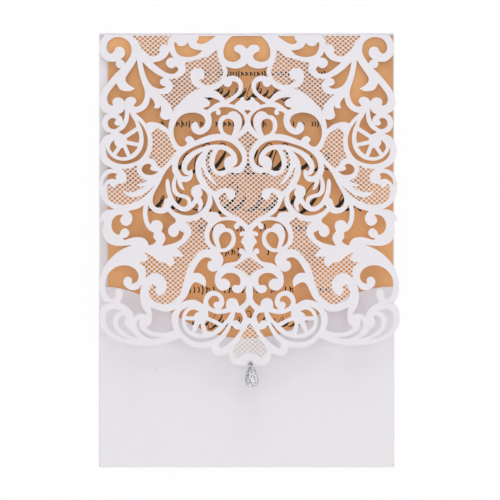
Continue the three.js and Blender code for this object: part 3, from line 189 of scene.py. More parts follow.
# Openings beside the middle, all of them on the right half
SIDE_OPENINGS = {
  "fold_wedge": [
    (13, 1.4, TIP), (20.3, 1.5, TIP), (20.4, 2.8), (21.3, 3.9, TIP), (20.3, 4.8), (18.4, 4.8),
    (16.5, 4), (14.7, 2.7),
  ],
  "fold_boat": [
    (18.7, 7.6, TIP), (20.5, 7.5), (22.4, 7), (23.9, 6.2), (25.1, 4.2, TIP), (25.7, 5.2),
    (27.2, 5.8), (28.9, 5.5), (30, 4.1, TIP), (30.6, 4.2, TIP), (30.6, 5.8), (30, 7.8),
    (29, 9.3), (27.4, 10.1), (25, 10.5), (22.7, 10.2), (20.6, 9.4),
  ],
  "hook_leaf": [
    (32.7, 8, TIP), (33.4, 9.5), (34.6, 10.9), (36.6, 12.1), (39.8, 12.8, TIP), (37.4, 14.9),
    (34.9, 16.7), (32.4, 17.6), (30.2, 17.3), (28.9, 15.7, TIP), (30, 14.3, TIP), (31.3, 15.2),
    (33, 14.9), (34.2, 13.2), (33.7, 11.6), (32.4, 10.8), (30.8, 10.6, TIP), (31.8, 9.8),
  ],
  "sickle_leaf": [
    (44.2, 12.5, TIP), (43.7, 15), (43, 17.7), (41.8, 20.6), (40.1, 22.8), (37.7, 23.9),
    (35.8, 23.9), (34.1, 22.9, TIP), (35.7, 22.7), (36.8, 21.6), (36.5, 20.1), (35.1, 19.3, TIP),
    (38, 17.8), (41, 15.6), (42.8, 13.9),
  ],
  "antler": [
    (46.5, 11.6, TIP), (47.7, 13.8), (49.6, 16.6), (51.1, 19), (51.2, 20.8), (49.8, 22.4),
    (47.4, 23.9, TIP), (49, 24.8), (51.3, 25), (53.7, 24.2), (55.3, 21.6, TIP), (57, 23.8),
    (58.6, 26.1), (59.2, 28.4), (58.5, 30.4), (57.4, 31.1), (56.5, 31, TIP), (56.9, 29.6),
    (56.1, 28.2), (54.5, 27.7), (53, 28.1), (51.7, 29.4, TIP), (50.9, 28.1), (49.2, 27.4),
    (47.6, 27.9), (46.8, 29.4), (48.1, 31.2, TIP), (46.9, 31.6), (45.2, 31), (43.9, 29.3),
    (43.2, 26.8), (43.4, 24.2), (44.4, 21.3), (45.4, 17.8), (46.1, 14.2),
  ],
  "corner_scroll": [
    (51.3, 13.2, TIP), (49.8, 11), (48.8, 8.6), (48.9, 6), (50, 3.8), (52, 2.4), (54.4, 1.9),
    (57, 2.5), (58.7, 4.2), (59.3, 6.4), (58.7, 8.3), (57.3, 9), (56.1, 8), (55.4, 6.6),
    (54.1, 6), (52.5, 6.4), (51.5, 7.9), (51.7, 9.8), (53.2, 11.4, TIP), (52.2, 12),
  ],
  "small_wing": [
    (3.6, 23), (4.1, 21.6), (5, 21), (6.3, 20.7, TIP), (6.5, 21.8), (7.3, 22.9), (8.4, 23.2),
    (9.4, 22.8), (10.1, 21.9, TIP), (11.1, 23), (12.5, 24), (14.5, 24.6, TIP), (12.6, 25.3),
    (10.9, 26.7), (9.3, 28.7, TIP), (7.4, 27.7), (5.6, 26.5), (4.1, 25),
  ],
  "small_fin": [
    (11.2, 29.4, TIP), (12.9, 28.5), (15.2, 27.7), (18.7, 27.6, TIP), (16.6, 28.7), (15.7, 29.9),
    (16.3, 31.3), (18.8, 32.2, TIP), (17.2, 33.1, TIP), (15.6, 31.9), (13.5, 30.4),
  ],
  "upper_scroll": [
    (4.9, 43.5, TIP), (2.6, 41.2), (1.3, 38.8), (1.4, 36.3), (2.7, 34.3), (5, 32.7), (7.8, 31.9),
    (10.4, 31.8), (12.2, 32.3, TIP), (11.4, 33.4), (11.4, 34.7), (12.4, 35.2), (13.3, 34.6),
    (13.1, 33.4, TIP), (14.4, 33.7), (15.6, 34.6, TIP), (15.1, 37.2), (15.4, 39.6),
    (16.7, 41.8), (18.9, 43.2), (21.1, 43.4), (23.1, 42.2), (23.8, 40.3), (23.1, 38.6),
    (21.5, 38.2), (20.1, 41, TIP), (18.6, 39.9), (17.8, 37.9), (18.4, 36), (20.1, 34.7),
    (22.7, 34.1), (25.6, 34.4), (28.1, 35.6), (30, 37.9), (31.1, 40.8), (31.1, 44), (30, 46.9),
    (28.4, 48.5), (26.7, 48.3), (25.6, 47.1), (26.4, 45.5), (25.2, 44.2), (23.6, 44.4),
    (22.2, 46.1, TIP), (19.5, 44.9), (16.5, 43.8), (14, 43.3), (11.2, 43.1, TIP), (12.2, 41.4),
    (12.5, 39), (12, 37), (10.6, 35.5), (8.6, 35.1, TIP), (7.3, 33.9), (5.4, 33.6), (3.6, 34.7),
    (2.5, 36.7), (2.5, 39.3), (3.3, 41.6),
  ],
  "upper_bean": [
    (6.9, 43.9, TIP), (6.1, 42.1), (5.7, 40), (6, 38), (7.2, 36.9), (8.9, 36.8), (10.2, 37.8),
    (10.6, 39.8), (10.2, 41.8), (8.9, 43.2),
  ],
  "arch_band": [
    (6.6, 57.5, TIP), (4.2, 56.8), (2.7, 54.9), (2.6, 52.6), (3.6, 50.2), (5.4, 48.1), (8, 46.5),
    (11.2, 45.9), (14.8, 46.2), (18.8, 47.3), (22.8, 48.7), (26.4, 50.9), (28.7, 53.6),
    (29.5, 56.8), (28.7, 59.5), (27.1, 61.1), (24.6, 60.8, TIP), (26.6, 60.2), (27.8, 58.2),
    (27.7, 55.7), (26.2, 52.9), (23.7, 50.8), (20.4, 49.2), (16.4, 48), (12.5, 47.7),
    (9, 48.3), (6.2, 50.1), (4.6, 52.8), (4.7, 55.6),
  ],
  "arch_petal": [
    (7, 52.4, TIP), (8.6, 50.9), (10.3, 50), (11.8, 49.8), (12.8, 50.9), (13.9, 53.8),
    (14.1, 56.6), (13.3, 58.4), (11.6, 58.9), (9.4, 58.3, TIP), (10, 56.6), (10, 54.8),
    (8.9, 53.1),
  ],
  "bell_stem": [
    (18.9, 50.5, TIP), (21.2, 51.7), (23.4, 53.6), (25, 55.8), (25.8, 57.6), (25, 58.9),
    (23.6, 58.1, TIP), (23.2, 60.1), (23.9, 62.2), (25.6, 63.4), (27.9, 63.5, TIP), (27.4, 65.3),
    (26.7, 67.1, TIP), (28.4, 66.2), (29.5, 64.4), (30.1, 61.8, TIP), (30.4, 64.2),
    (30.2, 66.3), (29.2, 68), (27.3, 68.7), (25.5, 69.3), (24.4, 70.4), (24, 72.3, TIP),
    (23, 70.3), (23.9, 68.6), (24, 67), (23.2, 65.6), (21.8, 64.9), (20.2, 64.5, TIP),
    (21.4, 62.2), (22.1, 59.6), (22.1, 56.6), (21.3, 53.8),
  ],
  "eye_crescent": [
    (21.6, 72.3, TIP), (22.6, 73.6), (24, 75), (26, 75.9), (28.2, 75.8), (30.4, 74.6),
    (32, 73.1, TIP), (32.8, 74.1, TIP), (31.3, 75.8), (28.9, 77), (26.2, 77.6), (23.4, 77.5),
    (20.9, 76.4), (18.9, 74.5), (17.5, 72.2), (17.1, 69.8), (17.6, 68.1), (18.8, 66.9),
    (20.3, 66.1, TIP), (19.3, 67.5), (19.4, 69), (20.1, 70.1, TIP), (19.3, 71.4), (19.1, 73.4),
    (19.9, 75.2), (21.2, 76.1, TIP), (21.2, 74.8), (20.9, 73.5),
  ],
  "eye_and_lobe": [
    (31.9, 55.9, TIP), (33.4, 57.5), (35.3, 60.2), (37.2, 64.1), (39.4, 68.1), (40.2, 70.8),
    (39.7, 73.2), (37.9, 74.4), (36.1, 74), (35.5, 72.4), (35, 70.9), (33.7, 70.1, TIP),
    (34.4, 67.7), (34.7, 65), (34.5, 62.9), (33.7, 62.2), (33.1, 63.4), (32.8, 65.4),
    (32.3, 67.8), (31.4, 70.2), (30, 72.3), (28.2, 73.7), (26.6, 73.9), (25.6, 72.6),
    (26, 71), (27.6, 70.3), (30, 69.5), (31.5, 68.2), (32.1, 66), (31.9, 63.4),
    (31, 60.9, TIP), (31.9, 58.6),
  ],
  "inner_crest": [
    (40.9, 27.6, TIP), (41.6, 30.4), (42.9, 32.3), (44.7, 33.6), (47.1, 34.4, TIP),
    (44.6, 36.6), (42.8, 38.8, TIP), (40.9, 38.1), (38.4, 38.4), (35.9, 39.3), (33.4, 41.2, TIP),
    (33.2, 38.9), (32.6, 36.8, TIP), (34.5, 37.2), (36.2, 36.5), (36.9, 35.2), (36.4, 33.2),
    (36.5, 31, TIP), (37.5, 32.3), (39.5, 32.1, TIP), (39, 30.8), (39.6, 29),
  ],
  "tiny_thorn": [
    (51.7, 32.2, TIP), (52.6, 33.9), (54.4, 34.9, TIP), (53, 36), (52.4, 38, TIP), (51.7, 35.6),
  ],
  "wheel_fan": [
    (49.8, 33.9, TIP), (50, 36.6), (50.6, 38.7), (52.1, 40.9), (54.4, 42.4, TIP),
    (52, 43.6, TIP), (49.4, 41.9), (46.8, 40.2, TIP), (47.6, 37.8), (49, 35.5),
  ],
  "side_hook": [
    (55.3, 37, TIP), (56.6, 36.4), (58.1, 36.9), (58.9, 38.3), (58.7, 39.8), (57.5, 40.9),
    (55.7, 41.1), (53.3, 39.4, TIP), (54.9, 39.7), (56.1, 38.7),
  ],
  "wheel_rim": [
    (46.3, 37.3, TIP), (44.5, 39.2), (43, 41.8), (42.1, 45), (42.2, 48.4), (43.4, 51.5),
    (45.5, 54), (48.4, 55.4), (51.8, 56), (55, 55.6), (57.8, 54.2), (59.5, 51.8),
    (59.9, 48.4, TIP), (58.9, 50.8), (57.1, 52.9), (54.6, 54.2), (51.6, 54.5), (48.4, 53.6),
    (45.9, 51.6), (44.3, 48.8), (43.8, 45.4), (44.4, 41.4),
  ],
  "wheel_window_a": [
    (46.2, 41.9, TIP), (51, 45, TIP), (50.9, 45.9, TIP), (45.9, 47, TIP), (45.6, 44.6),
  ],
  "wheel_window_b": [(46.2, 48.6, TIP), (51.2, 47.6, TIP), (49.4, 52, TIP), (47.6, 50.6)],
  "wheel_window_c": [
    (52.4, 49.1, TIP), (53.2, 49.1, TIP), (55.4, 52.3, TIP), (53.4, 53), (50.8, 52.9, TIP),
  ],
  "wheel_window_d": [
    (56.1, 45.6, TIP), (57.6, 47.3), (58, 49.3), (56.8, 51.3, TIP), (55, 48.8, TIP),
    (56, 47.4),
  ],
  "small_hook": [
    (40.6, 56.3, TIP), (42.2, 55.8), (43.8, 56.5), (44.7, 58.2), (43.9, 59.8), (42, 60.5),
    (39.7, 60.4), (37.6, 59, TIP), (39.6, 58.9), (41.2, 58.2, TIP),
  ],
  "side_wing": [
    (55, 60.1, TIP), (57.1, 59.7), (59.3, 60.7), (60.6, 62.4), (61, 65.3, TIP), (59.6, 63.3),
    (57.6, 62.2), (55.3, 62.5, TIP), (55.7, 61.3),
  ],
  "heart_corner": [
    (15.4, 69, TIP), (15, 71.4), (15.6, 73.8), (16.9, 76.1, TIP), (14.6, 76.1), (12.8, 76.6),
    (11.7, 78.4, TIP), (8.7, 78.1, TIP), (10.8, 76.8), (12.8, 74.4), (14.3, 71.2),
  ],
  "ring_region": [
    (4.7, 80.4, TIP), (6.6, 79.8), (8.9, 79.6), (11.3, 79.9), (13.5, 80.9), (15.3, 82.7),
    (16.4, 85), (16.4, 87.6), (15.4, 89.7), (13.5, 91, TIP), (14.6, 88.7), (15.2, 86.2),
    (14.9, 83.7), (13.7, 81.8), (11.9, 81), (10.4, 81.6), (9.4, 82.8), (7.7, 83.2),
    (6.4, 84.3), (5.6, 86.2), (5.5, 88.3), (6.2, 90.3), (7.7, 91.9), (9.8, 92.9),
    (12.4, 93.1, TIP), (11.1, 94.8), (10.8, 96.9), (11.8, 99.1, TIP), (9.8, 97.8), (7.4, 97.3),
    (5.4, 96.9), (3.9, 95.6), (3, 94, TIP), (4.1, 93.5), (4.3, 92.3), (3.3, 91.4),
    (2.1, 92), (1.3, 93.5, TIP), (1.8, 91.5), (2.3, 90.1), (3.3, 88.9), (2.9, 87.7),
    (1.9, 85.9, TIP), (3.3, 86.3), (3.9, 85.5), (3.2, 84.5), (1.5, 84.2, TIP), (2.3, 82.8),
    (3.9, 81.7, TIP), (4.3, 83), (5.4, 83.4), (6.2, 82.4), (5.8, 81.2),
  ],
  "ring_drop": [
    (9.3, 84.5), (10.9, 84.9), (12.1, 86.3), (12.5, 88.2), (11.6, 91.6, TIP), (9.6, 91.1),
    (7.9, 89.2), (7.2, 87.1), (7.8, 85.3),
  ],
  "bulb_region": [
    (33.8, 76, TIP), (36, 76.8), (38.7, 76.5), (40.9, 75), (41.9, 73.1, TIP), (42.4, 76),
    (42.1, 79.2), (41.2, 81.5, TIP), (40.2, 80), (38.3, 79.6), (36.6, 80.4), (36, 82.3),
    (36.6, 84.2, TIP), (35.3, 85.8), (35, 87.8), (36.4, 90.4, TIP), (33.4, 89.8),
    (30.4, 88.9), (28.2, 87.4), (27, 85, TIP), (29.2, 83.8, TIP), (29.5, 85.4), (30.9, 86.6),
    (32.7, 86.3), (33.8, 84.5), (33.1, 82.3), (30.6, 80.5, TIP), (30.7, 79.1), (32.1, 77.8),
  ],
  "cloud_region": [
    (43.9, 73.3, TIP), (46.4, 74.7), (50.4, 75.8, TIP), (49.1, 77.3), (48.7, 79.3),
    (49.7, 81.3), (51.5, 82), (53.2, 81.1), (53.8, 79.3), (52.6, 77.3, TIP), (54.8, 77.4),
    (56.6, 78.8), (57.5, 81.1), (57.2, 83.4), (56, 85.1), (54.3, 85.7), (53.6, 84.2),
    (52, 83), (50.4, 83.8), (50.1, 85.3), (51, 86.7), (53, 87.2, TIP), (51.9, 87.9),
    (49.7, 87.2), (46.7, 86.7), (44, 87.2), (42.4, 88.7), (41.9, 90.2, TIP), (40.1, 89.6),
    (38.9, 88.3), (39.9, 87), (39.8, 84.8, TIP), (41.7, 83.8), (43.2, 81.8), (44.1, 79),
    (44.3, 75.9),
  ],
  "corner_arm": [
    (44.9, 106.4, TIP), (46.3, 108.3), (48.5, 108.9), (50.7, 108.3), (52.3, 106.7),
    (52.5, 104.8), (51.3, 103.4), (49.7, 103.6), (48.9, 104.9), (49.2, 106.3, TIP),
    (47.3, 105.6), (46.3, 104), (46.5, 101.8), (48.1, 99.8), (50.6, 98.7), (53.6, 98.6),
    (56.6, 99.8), (58.9, 102.1), (60.1, 105.2), (60, 108.2), (59.5, 110.5), (58.5, 112.1),
    (57, 112.5), (56, 111.7), (56.1, 110.3), (55.7, 109), (54.5, 108.4), (53.3, 109),
    (52.9, 110.4), (53.3, 112.1), (54.2, 114.2, TIP), (52, 115.2), (50, 116.8), (48.8, 118.5),
    (48.4, 120.2, TIP), (46.2, 118.8),
    (42.8, 119, TIP), (44.6, 116.1), (45.6, 112.8), (45.6, 109.4),
  ],
  "lower_vine": [
    (3.7, 105.2), (4.2, 103.4), (5.7, 102.1), (7.8, 101.7), (9.9, 102.1), (12.1, 104.2, TIP),
    (10.1, 104.1), (8.5, 105.2), (8, 106.9), (8.9, 108.4), (10.8, 109.1), (12.8, 108.5),
    (14.1, 106.7), (14.4, 104.3), (14, 102.1), (13, 100.5, TIP), (14.8, 101.2), (16.6, 100.6),
    (17.5, 98.9), (16.9, 97), (15.3, 96.4, TIP), (16.4, 95.5), (18.3, 95.2), (20.1, 96.2),
    (21.9, 98.7), (23.5, 101.7, TIP), (21, 101.8), (19.1, 103.1), (18.1, 105.3),
    (18.5, 107.7, TIP), (20.3, 106.3), (22.5, 105.6), (24, 106.7), (25.2, 109.4),
    (26.6, 112.1), (28.5, 114.1, TIP), (25.8, 113.1), (22.7, 113), (19.3, 114.8, TIP),
    (19.1, 112.6), (18, 110.5), (16, 109.2), (13.8, 109.4), (11.8, 110.6), (10.7, 112.6),
    (10.7, 115), (12.1, 117, TIP), (9.8, 116.5, TIP), (9.8, 114.3), (8.9, 112.7),
    (7, 112.2), (5.2, 113.1), (4.3, 115.7, TIP), (2.2, 114), (1.3, 112), (1.6, 109.6),
    (1.3, 106.8, TIP), (2.6, 108.7), (4, 110), (6, 110), (7.3, 108.8), (6.9, 107.2),
    (5.4, 106.7), (4.2, 106.8),
  ],
  "ring_curl": [
    (12.6, 113.3), (13.1, 111.9), (14.6, 111.2), (16.3, 111.9), (17.3, 113.6), (16.6, 115.6),
    (14.2, 116.9, TIP), (15.1, 115.2), (14.4, 113.9), (13.2, 113.8),
  ],
  "ring_base": [
    (7.8, 118, TIP), (10.6, 118.7), (13.8, 118.8), (17.3, 117.5, TIP), (17.3, 120, TIP),
    (14.4, 121.3), (11.5, 122.8, TIP), (9.4, 120.7),
  ],
  "tip_petal": [
    (3, 119.8), (3.9, 118.5), (6.1, 118.2, TIP), (6.3, 119.9), (7, 121.7, TIP), (5.2, 121.5),
    (3.9, 123, TIP), (3.1, 121.6),
  ],
  "tip_stem": [
    (7.6, 123.6, TIP), (9, 126.4), (10.8, 129.2), (12.9, 131.4), (12.6, 133.3, TIP),
    (9.6, 131.8), (6.4, 128.8), (3.8, 125.5, TIP), (6, 125),
  ],
  "low_wheel_rim": [
    (8.5, 121.9, TIP), (10, 124.9), (12.4, 127.8), (15.6, 129.8), (19.6, 130.6), (23.6, 130.1),
    (27, 128), (29.2, 124.8), (29.8, 121.2), (28.7, 117.8), (25.3, 115.7, TIP), (27.3, 117.7),
    (28.3, 120.6), (27.9, 124), (26, 126.9), (22.8, 128.6), (19.2, 128.9), (15.6, 128.2),
    (12.4, 126.3), (10.1, 123.9),
  ],
  "low_wheel_window_a": [
    (21, 117.8, TIP), (23.2, 117), (25.3, 117.7), (26.7, 119.8, TIP), (23.4, 119.9, TIP),
    (22.5, 118.5),
  ],
  "low_wheel_window_b": [(22.9, 121.6, TIP), (27, 121.4, TIP), (26, 124.4), (24.2, 126.1, TIP)],
  "low_wheel_window_c": [(20.6, 122.7, TIP), (23, 126.7, TIP), (19.6, 127.4, TIP)],
  "low_wheel_window_d": [
    (12.9, 124, TIP), (15.5, 122.5), (18.2, 121.5, TIP), (18.7, 123), (17.8, 125.9, TIP),
    (15.6, 126.1),
  ],
  "low_window": [
    (31, 116.6, TIP), (33.2, 117.8), (37, 117.6), (41.3, 116, TIP), (40.7, 119.4), (41.1, 122.6),
    (43.1, 124.6, TIP), (40.6, 126.2), (36.4, 126.7), (31.6, 125.8, TIP), (32.4, 122.4),
    (32.4, 119.1),
  ],
  "low_crescent": [
    (46.2, 120.8, TIP), (47.3, 123.4), (46.2, 126.2), (43.6, 128.3), (39.8, 129.3),
    (35.7, 128.5, TIP), (39.4, 128.2), (43, 127), (45.7, 124.6),
  ],
  "lobe_rim": [
    (53.4, 117.6, TIP), (56.2, 116.7), (58.6, 117.2), (60, 118.9), (60.3, 121.5), (59.3, 124.5),
    (56.8, 127.1), (53, 128.9), (49.2, 129.5, TIP), (52.9, 127.9), (55.5, 125.7), (56.9, 123),
    (56.9, 120.5), (55.8, 118.7),
  ],
  "lobe_hollow": [
    (53.9, 119.9, TIP), (52.5, 119.4), (51.7, 120.3), (52.3, 121.8), (51.9, 123.5),
    (50, 125.2), (48.6, 127), (45.6, 129.3, TIP), (49.4, 128.2), (52.4, 126.5), (54.5, 124.3),
    (55, 121.9),
  ],
}

# Lattice fields that cross the middle: right halves again
MIDDLE_FIELDS = [
  # upper heart
  [
    (0, 41.8, TIP), (1, 43), (2.8, 44.3), (4.8, 45.4, TIP), (2.8, 47.4), (1.3, 49.4),
    (0.6, 51.6), (0.5, 54.4), (1.2, 57.2), (2.6, 59), (4.6, 59.9), (7.6, 59.5),
    (10.4, 61), (12.8, 60.6), (14.8, 59.1), (16.1, 56.8), (16.2, 53.9), (15.4, 51.5),
    (14.2, 49.6, TIP), (16.1, 50.3), (17.4, 52.7), (17.7, 55.4), (17, 58.5), (15.7, 61),
    (14, 63.3), (12.7, 65.1, TIP), (14.6, 64.2), (16.4, 62.6), (18, 60.3), (19, 58.4),
    (19.6, 56.7, TIP), (19.6, 58.8), (18.9, 61.1), (17.6, 63.6), (16, 66), (13.9, 67.7, TIP),
    (12.1, 66.5), (9.8, 66), (7.4, 66.4), (5.8, 67.8), (5.6, 69.4), (6.6, 70.6),
    (7.9, 71, TIP), (9.1, 69.5), (9.5, 68.2, TIP), (11, 68.2), (12.3, 69.7), (12.1, 72),
    (10.2, 74.5), (6.8, 77.1), (2.8, 79.4), (0, 81.9, TIP),
  ],
  # small shield
  [
    (0, 94.9, TIP), (2.4, 96.6), (6.3, 99.4, TIP), (3, 100.8), (0, 103.4, TIP),
  ],
  # lower heart at the tip
  [
    (0, 122.8, TIP), (1.9, 125.3), (3.8, 128.6), (6, 131.3), (7, 134.2), (6.2, 136.9),
    (4.4, 137.4), (2.2, 135.8), (0, 135, TIP),
  ],
]

SIDE_FIELDS = {
  "fan_field": [
    (12.6, 6.8, TIP), (14.2, 8.5), (16.3, 10.1), (20, 11.2), (23.4, 12.3), (26.5, 12.8, TIP),
    (25.9, 15.4), (26.8, 17.8), (29.2, 19.3), (33.1, 19.9, TIP), (31.5, 21.8), (31.7, 24.2),
    (33.4, 25.9), (36.7, 26.4, TIP), (34.2, 28.7), (32.4, 31.2), (31.5, 33.6, TIP),
    (29.4, 31), (26.6, 27.9), (23.4, 25.4), (19.8, 23.9, TIP), (22, 22.6), (23.6, 20.6),
    (24, 18.2), (23.2, 16), (21.2, 15.2), (18.9, 15.8), (17.9, 17.8), (18.7, 19.6),
    (20.9, 20.3, TIP), (18.9, 21.8), (16, 22.4), (13, 21.4), (10.8, 19.4), (10, 16.8),
    (10.8, 14.3), (12.1, 11.3),
  ],
  "corner_field": [
    (31.9, 1.3, TIP), (48.6, 1.3, TIP), (46.4, 3.5), (44.5, 6.6), (42.5, 9), (40.4, 10.1),
    (38, 9.7), (36.8, 8.3), (36.9, 6.6), (35.4, 5), (33.3, 5.5, TIP), (33.2, 3.2),
  ],
  "leaf_field": [
    (38.4, 40.4, TIP), (39.6, 41.6), (40.6, 43.1, TIP), (40.1, 45.4), (40.2, 48.6),
    (40.8, 51), (41.9, 53.2, TIP), (39.6, 54.1), (38.3, 55.8), (37.7, 57.6, TIP),
    (35.6, 57), (32.8, 54), (29.8, 50.4, TIP), (31.8, 48), (32.7, 45.4), (34.6, 42.8),
    (36.8, 41.4),
  ],
  "side_field": [
    (46.6, 56.3, TIP), (49.2, 57.6), (53.2, 58, TIP), (51.4, 60), (51.2, 62.8),
    (52.8, 64.1), (55.2, 64.3, TIP), (56.8, 65.8), (58.9, 63.8, TIP), (59.5, 67.2),
    (58.7, 70.5), (56.2, 72.5), (52.6, 73.2), (48.6, 72.4), (44.6, 70.4), (41.4, 67.6),
    (39.2, 64.9, TIP), (42.4, 67.6), (45.6, 69.4), (48.6, 69.9), (51, 69.1), (52.8, 67.2, TIP),
    (49.8, 67.9), (46.4, 67.1), (43.5, 65.4, TIP), (46.9, 65.2, TIP), (45, 64.2),
    (42.4, 63.1, TIP), (45, 61.5), (46.5, 59),
  ],
  "lower_field": [
    (19.6, 78.2, TIP), (21.8, 79.6), (26.5, 80.4, TIP), (24.6, 82.4), (24.1, 85),
    (25.6, 87.9), (30, 91.5, TIP), (28.4, 93.1), (27.7, 95, TIP), (31.9, 94.8, TIP),
    (31.4, 97), (32.6, 99), (35.1, 97.2, TIP), (36.6, 97.3), (40.2, 95), (43.7, 93, TIP),
    (42, 96.1, TIP), (45.7, 97.5, TIP), (43.9, 99.3), (43.1, 101.4), (43.3, 103.8, TIP),
    (40.6, 102), (37.8, 102), (35.4, 103.9), (34.4, 106.8), (35.2, 109.7), (37.6, 111.5, TIP),
    (39.2, 109.6), (39, 107.4), (40.2, 106.1, TIP), (41.8, 108.6), (41.8, 111.2),
    (39.6, 113.6), (36.2, 114.7), (32.6, 114.1), (29.6, 111.5), (28.1, 108), (26.7, 103.2),
    (25.6, 99.4), (22.8, 95.1), (19.8, 92.2), (16, 91.7, TIP), (17.9, 89.3), (18.7, 86.2),
    (18, 83.1), (16.9, 80.4, TIP), (18.2, 79.3),
  ],
}


# Shader building


class Value:
    """A socket of a material, so that shader maths reads as plain sums."""

    def __init__(self, recipe, socket):
        self.recipe = recipe
        self.socket = socket

    def maths(self, operation, first, second):
        return self.recipe.node("ShaderNodeMath", {"operation": operation}, {0: first, 1: second})

    def __add__(self, other):
        return self.maths("ADD", self, other)

    def __mul__(self, other):
        return self.maths("MULTIPLY", self, other)

    __radd__ = __add__
    __rmul__ = __mul__


class Recipe:
    """A material, or the world, made of nodes around its one shader."""

    def __init__(self, name, kind="materials", shader="Principled BSDF"):
        self.block = getattr(bpy.data, kind).new(name)
        self.block.use_nodes = True
        self.tree = self.block.node_tree
        self.shader = self.tree.nodes[shader]

    def node(self, kind, settings=None, inputs=None, output=0):
        made = self.tree.nodes.new(kind)
        for key, value in (settings or {}).items():
            if key == "stops":
                ramp = made.color_ramp.elements
                while len(ramp) < len(value):
                    ramp.new(1.0)
                for element, (place, colour) in zip(ramp, value):
                    element.position = place
                    element.color = colour
            else:
                setattr(made, key, value)
        for key, value in (inputs or {}).items():
            self.feed(made.inputs[key], value)
        return Value(self, made.outputs[output])

    def feed(self, socket, value):
        if isinstance(value, Value):
            self.tree.links.new(value.socket, socket)
        else:
            socket.default_value = value

    def set(self, **values):
        for key, value in values.items():
            self.feed(self.shader.inputs[key.replace("_", " ")], value)

    def place(self):
        return self.node("ShaderNodeTexCoord", output="Object")

    def noise(self, spot, scale, detail=2.0):
        fed = {"Vector": spot, "Scale": scale, "Detail": detail}
        return self.node("ShaderNodeTexNoise", inputs=fed)

    def mix(self, share, first, second):
        fed = {0: share, 6: first, 7: second}
        return self.node("ShaderNodeMix", {"data_type": "RGBA"}, fed, output=2)

    def spread(self, value, low, high, start=0.0, end=1.0):
        fed = {"Value": value, 1: low, 2: high, 3: start, 4: end}
        return self.node("ShaderNodeMapRange", inputs=fed)

    def bump(self, height, distance, strength):
        fed = {"Height": height, "Distance": distance, "Strength": strength}
        return self.node("ShaderNodeBump", inputs=fed)


def toned(colour, red, green, blue):
    """A colour with its channels scaled."""
    return (colour[0] * red, colour[1] * green, colour[2] * blue, 1.0)


def pearl_paper(colours):
    """White card with a pearl coat: clouding, fine grain, two specks, cream cut edges."""
    recipe = Recipe("pearl_paper")
    spot = recipe.place()
    cloud = recipe.noise(spot, 160.0, 3.0)
    grain = recipe.noise(spot, 2600.0)
    share = recipe.spread(cloud * 0.35 + grain * 0.65, 0.35, 0.65)
    cool = toned(colours.pearl, 0.98, 1.01, 1.03)
    drift = recipe.spread(recipe.noise(spot, 11.0, 1.0), 0.35, 0.65)
    light = recipe.mix(drift, tuple(colours.pearl), cool)
    shade = toned(colours.pearl, 0.96, 0.96, 0.96)
    paper = recipe.mix(share, shade, light)
    for speck, size in SPECKS:
        fed = {0: spot, 1: speck}
        away = recipe.node("ShaderNodeVectorMath", {"operation": "DISTANCE"}, fed, "Value")
        paper = recipe.mix(recipe.spread(away, size * 0.4, size, 0.75, 0.0), paper, SPECK_BROWN)
    # A warm tint on the cut walls and on the lattice bars
    singe = recipe.node("ShaderNodeAttribute", {"attribute_name": "singe"}, output="Fac")
    recipe.set(
        Base_Color=recipe.mix(singe, paper, tuple(colours.warm_edge)),
        Roughness=recipe.spread(grain, 0.3, 0.7, 0.42, 0.58),
        Metallic=0.0,
        Coat_Weight=0.12,
        Coat_Roughness=0.35,
        Normal=recipe.bump(grain, 0.000015, 0.5),
    )
    return recipe.block


def gold_paper(colours):
    """Copper gold card whose flakes of mica shimmer a little, with painted shade in a band up the
    card.
    """
    recipe = Recipe("gold_paper")
    spot = recipe.place()
    cloud = recipe.noise(spot, 110.0, 3.0)
    flakes = recipe.node("ShaderNodeTexVoronoi", inputs={"Vector": spot, "Scale": 2400.0}, output=1)
    flake = recipe.node("ShaderNodeSeparateColor", inputs={0: flakes})
    share = recipe.spread(cloud * 0.5 + flake * 0.5, 0.2, 0.8)
    light = tuple(colours.gold)
    shade = toned(light, 0.9, 0.87, 0.84)
    painted_shade = toned(light, 0.55, 0.48, 0.42)
    # Painted shade: a darker copy of the gold is mixed in by height up the card, strongest in a
    # band near the top, with noise patches of the same painted shade
    height = recipe.node("ShaderNodeSeparateXYZ", inputs={0: spot}, output="Y")
    rise = recipe.spread(height, *GOLD_SHADE_RAMP)
    shade_band = recipe.node("ShaderNodeValToRGB", {"stops": GOLD_SHADE_STOPS}, {0: rise})
    tone = recipe.node("ShaderNodeSeparateColor", inputs={0: shade_band})
    shade_patch = recipe.spread(recipe.noise(spot, 52.0, 1.0), 0.3, 0.7, -0.28, 0.28)
    painted_shade_share = recipe.spread(tone + shade_patch, 0.0, 1.0)
    recipe.set(
        Base_Color=recipe.mix(painted_shade_share, recipe.mix(share, shade, light), painted_shade),
        Roughness=recipe.spread(flake, 0.0, 1.0, 0.38, 0.55),
        Metallic=0.15,
        Normal=recipe.bump(flake, 0.000012, 0.4),
    )
    return recipe.block


def printing_ink(colours):
    """Near-black ink that lies thinly on the gold card and lets a little of it through."""
    recipe = Recipe("printing_ink")
    spot = recipe.place()
    wear = recipe.spread(recipe.noise(spot, 1500.0), 0.35, 0.7)
    dark = tuple(colours.ink)
    thin = tuple(c + 0.018 for c in dark[:3]) + (1.0,)
    recipe.set(
        Base_Color=recipe.mix(wear, dark, thin),
        Roughness=recipe.spread(wear, 0.0, 1.0, 0.55, 0.75),
        Specular_IOR_Level=0.3,
    )
    return recipe.block


def silver_gem(colours):
    """Cut glass on silver foil: every small facet carries its own painted reflection, a tone
    between dark and light.
    """
    recipe = Recipe("silver_gem")
    tone = recipe.node("ShaderNodeAttribute", {"attribute_name": "tone"}, output="Fac")
    haze = recipe.noise(recipe.place(), 900.0)
    light = tuple(colours.silver)
    dark = toned(light, 0.05, 0.052, 0.075)
    recipe.set(
        Base_Color=recipe.mix(recipe.spread(tone + haze * 0.2, 0.22, 0.74), dark, light),
        Metallic=0.3,
        Roughness=recipe.spread(haze, 0.3, 0.7, 0.16, 0.34),
    )
    return recipe.block


# Lace drawing


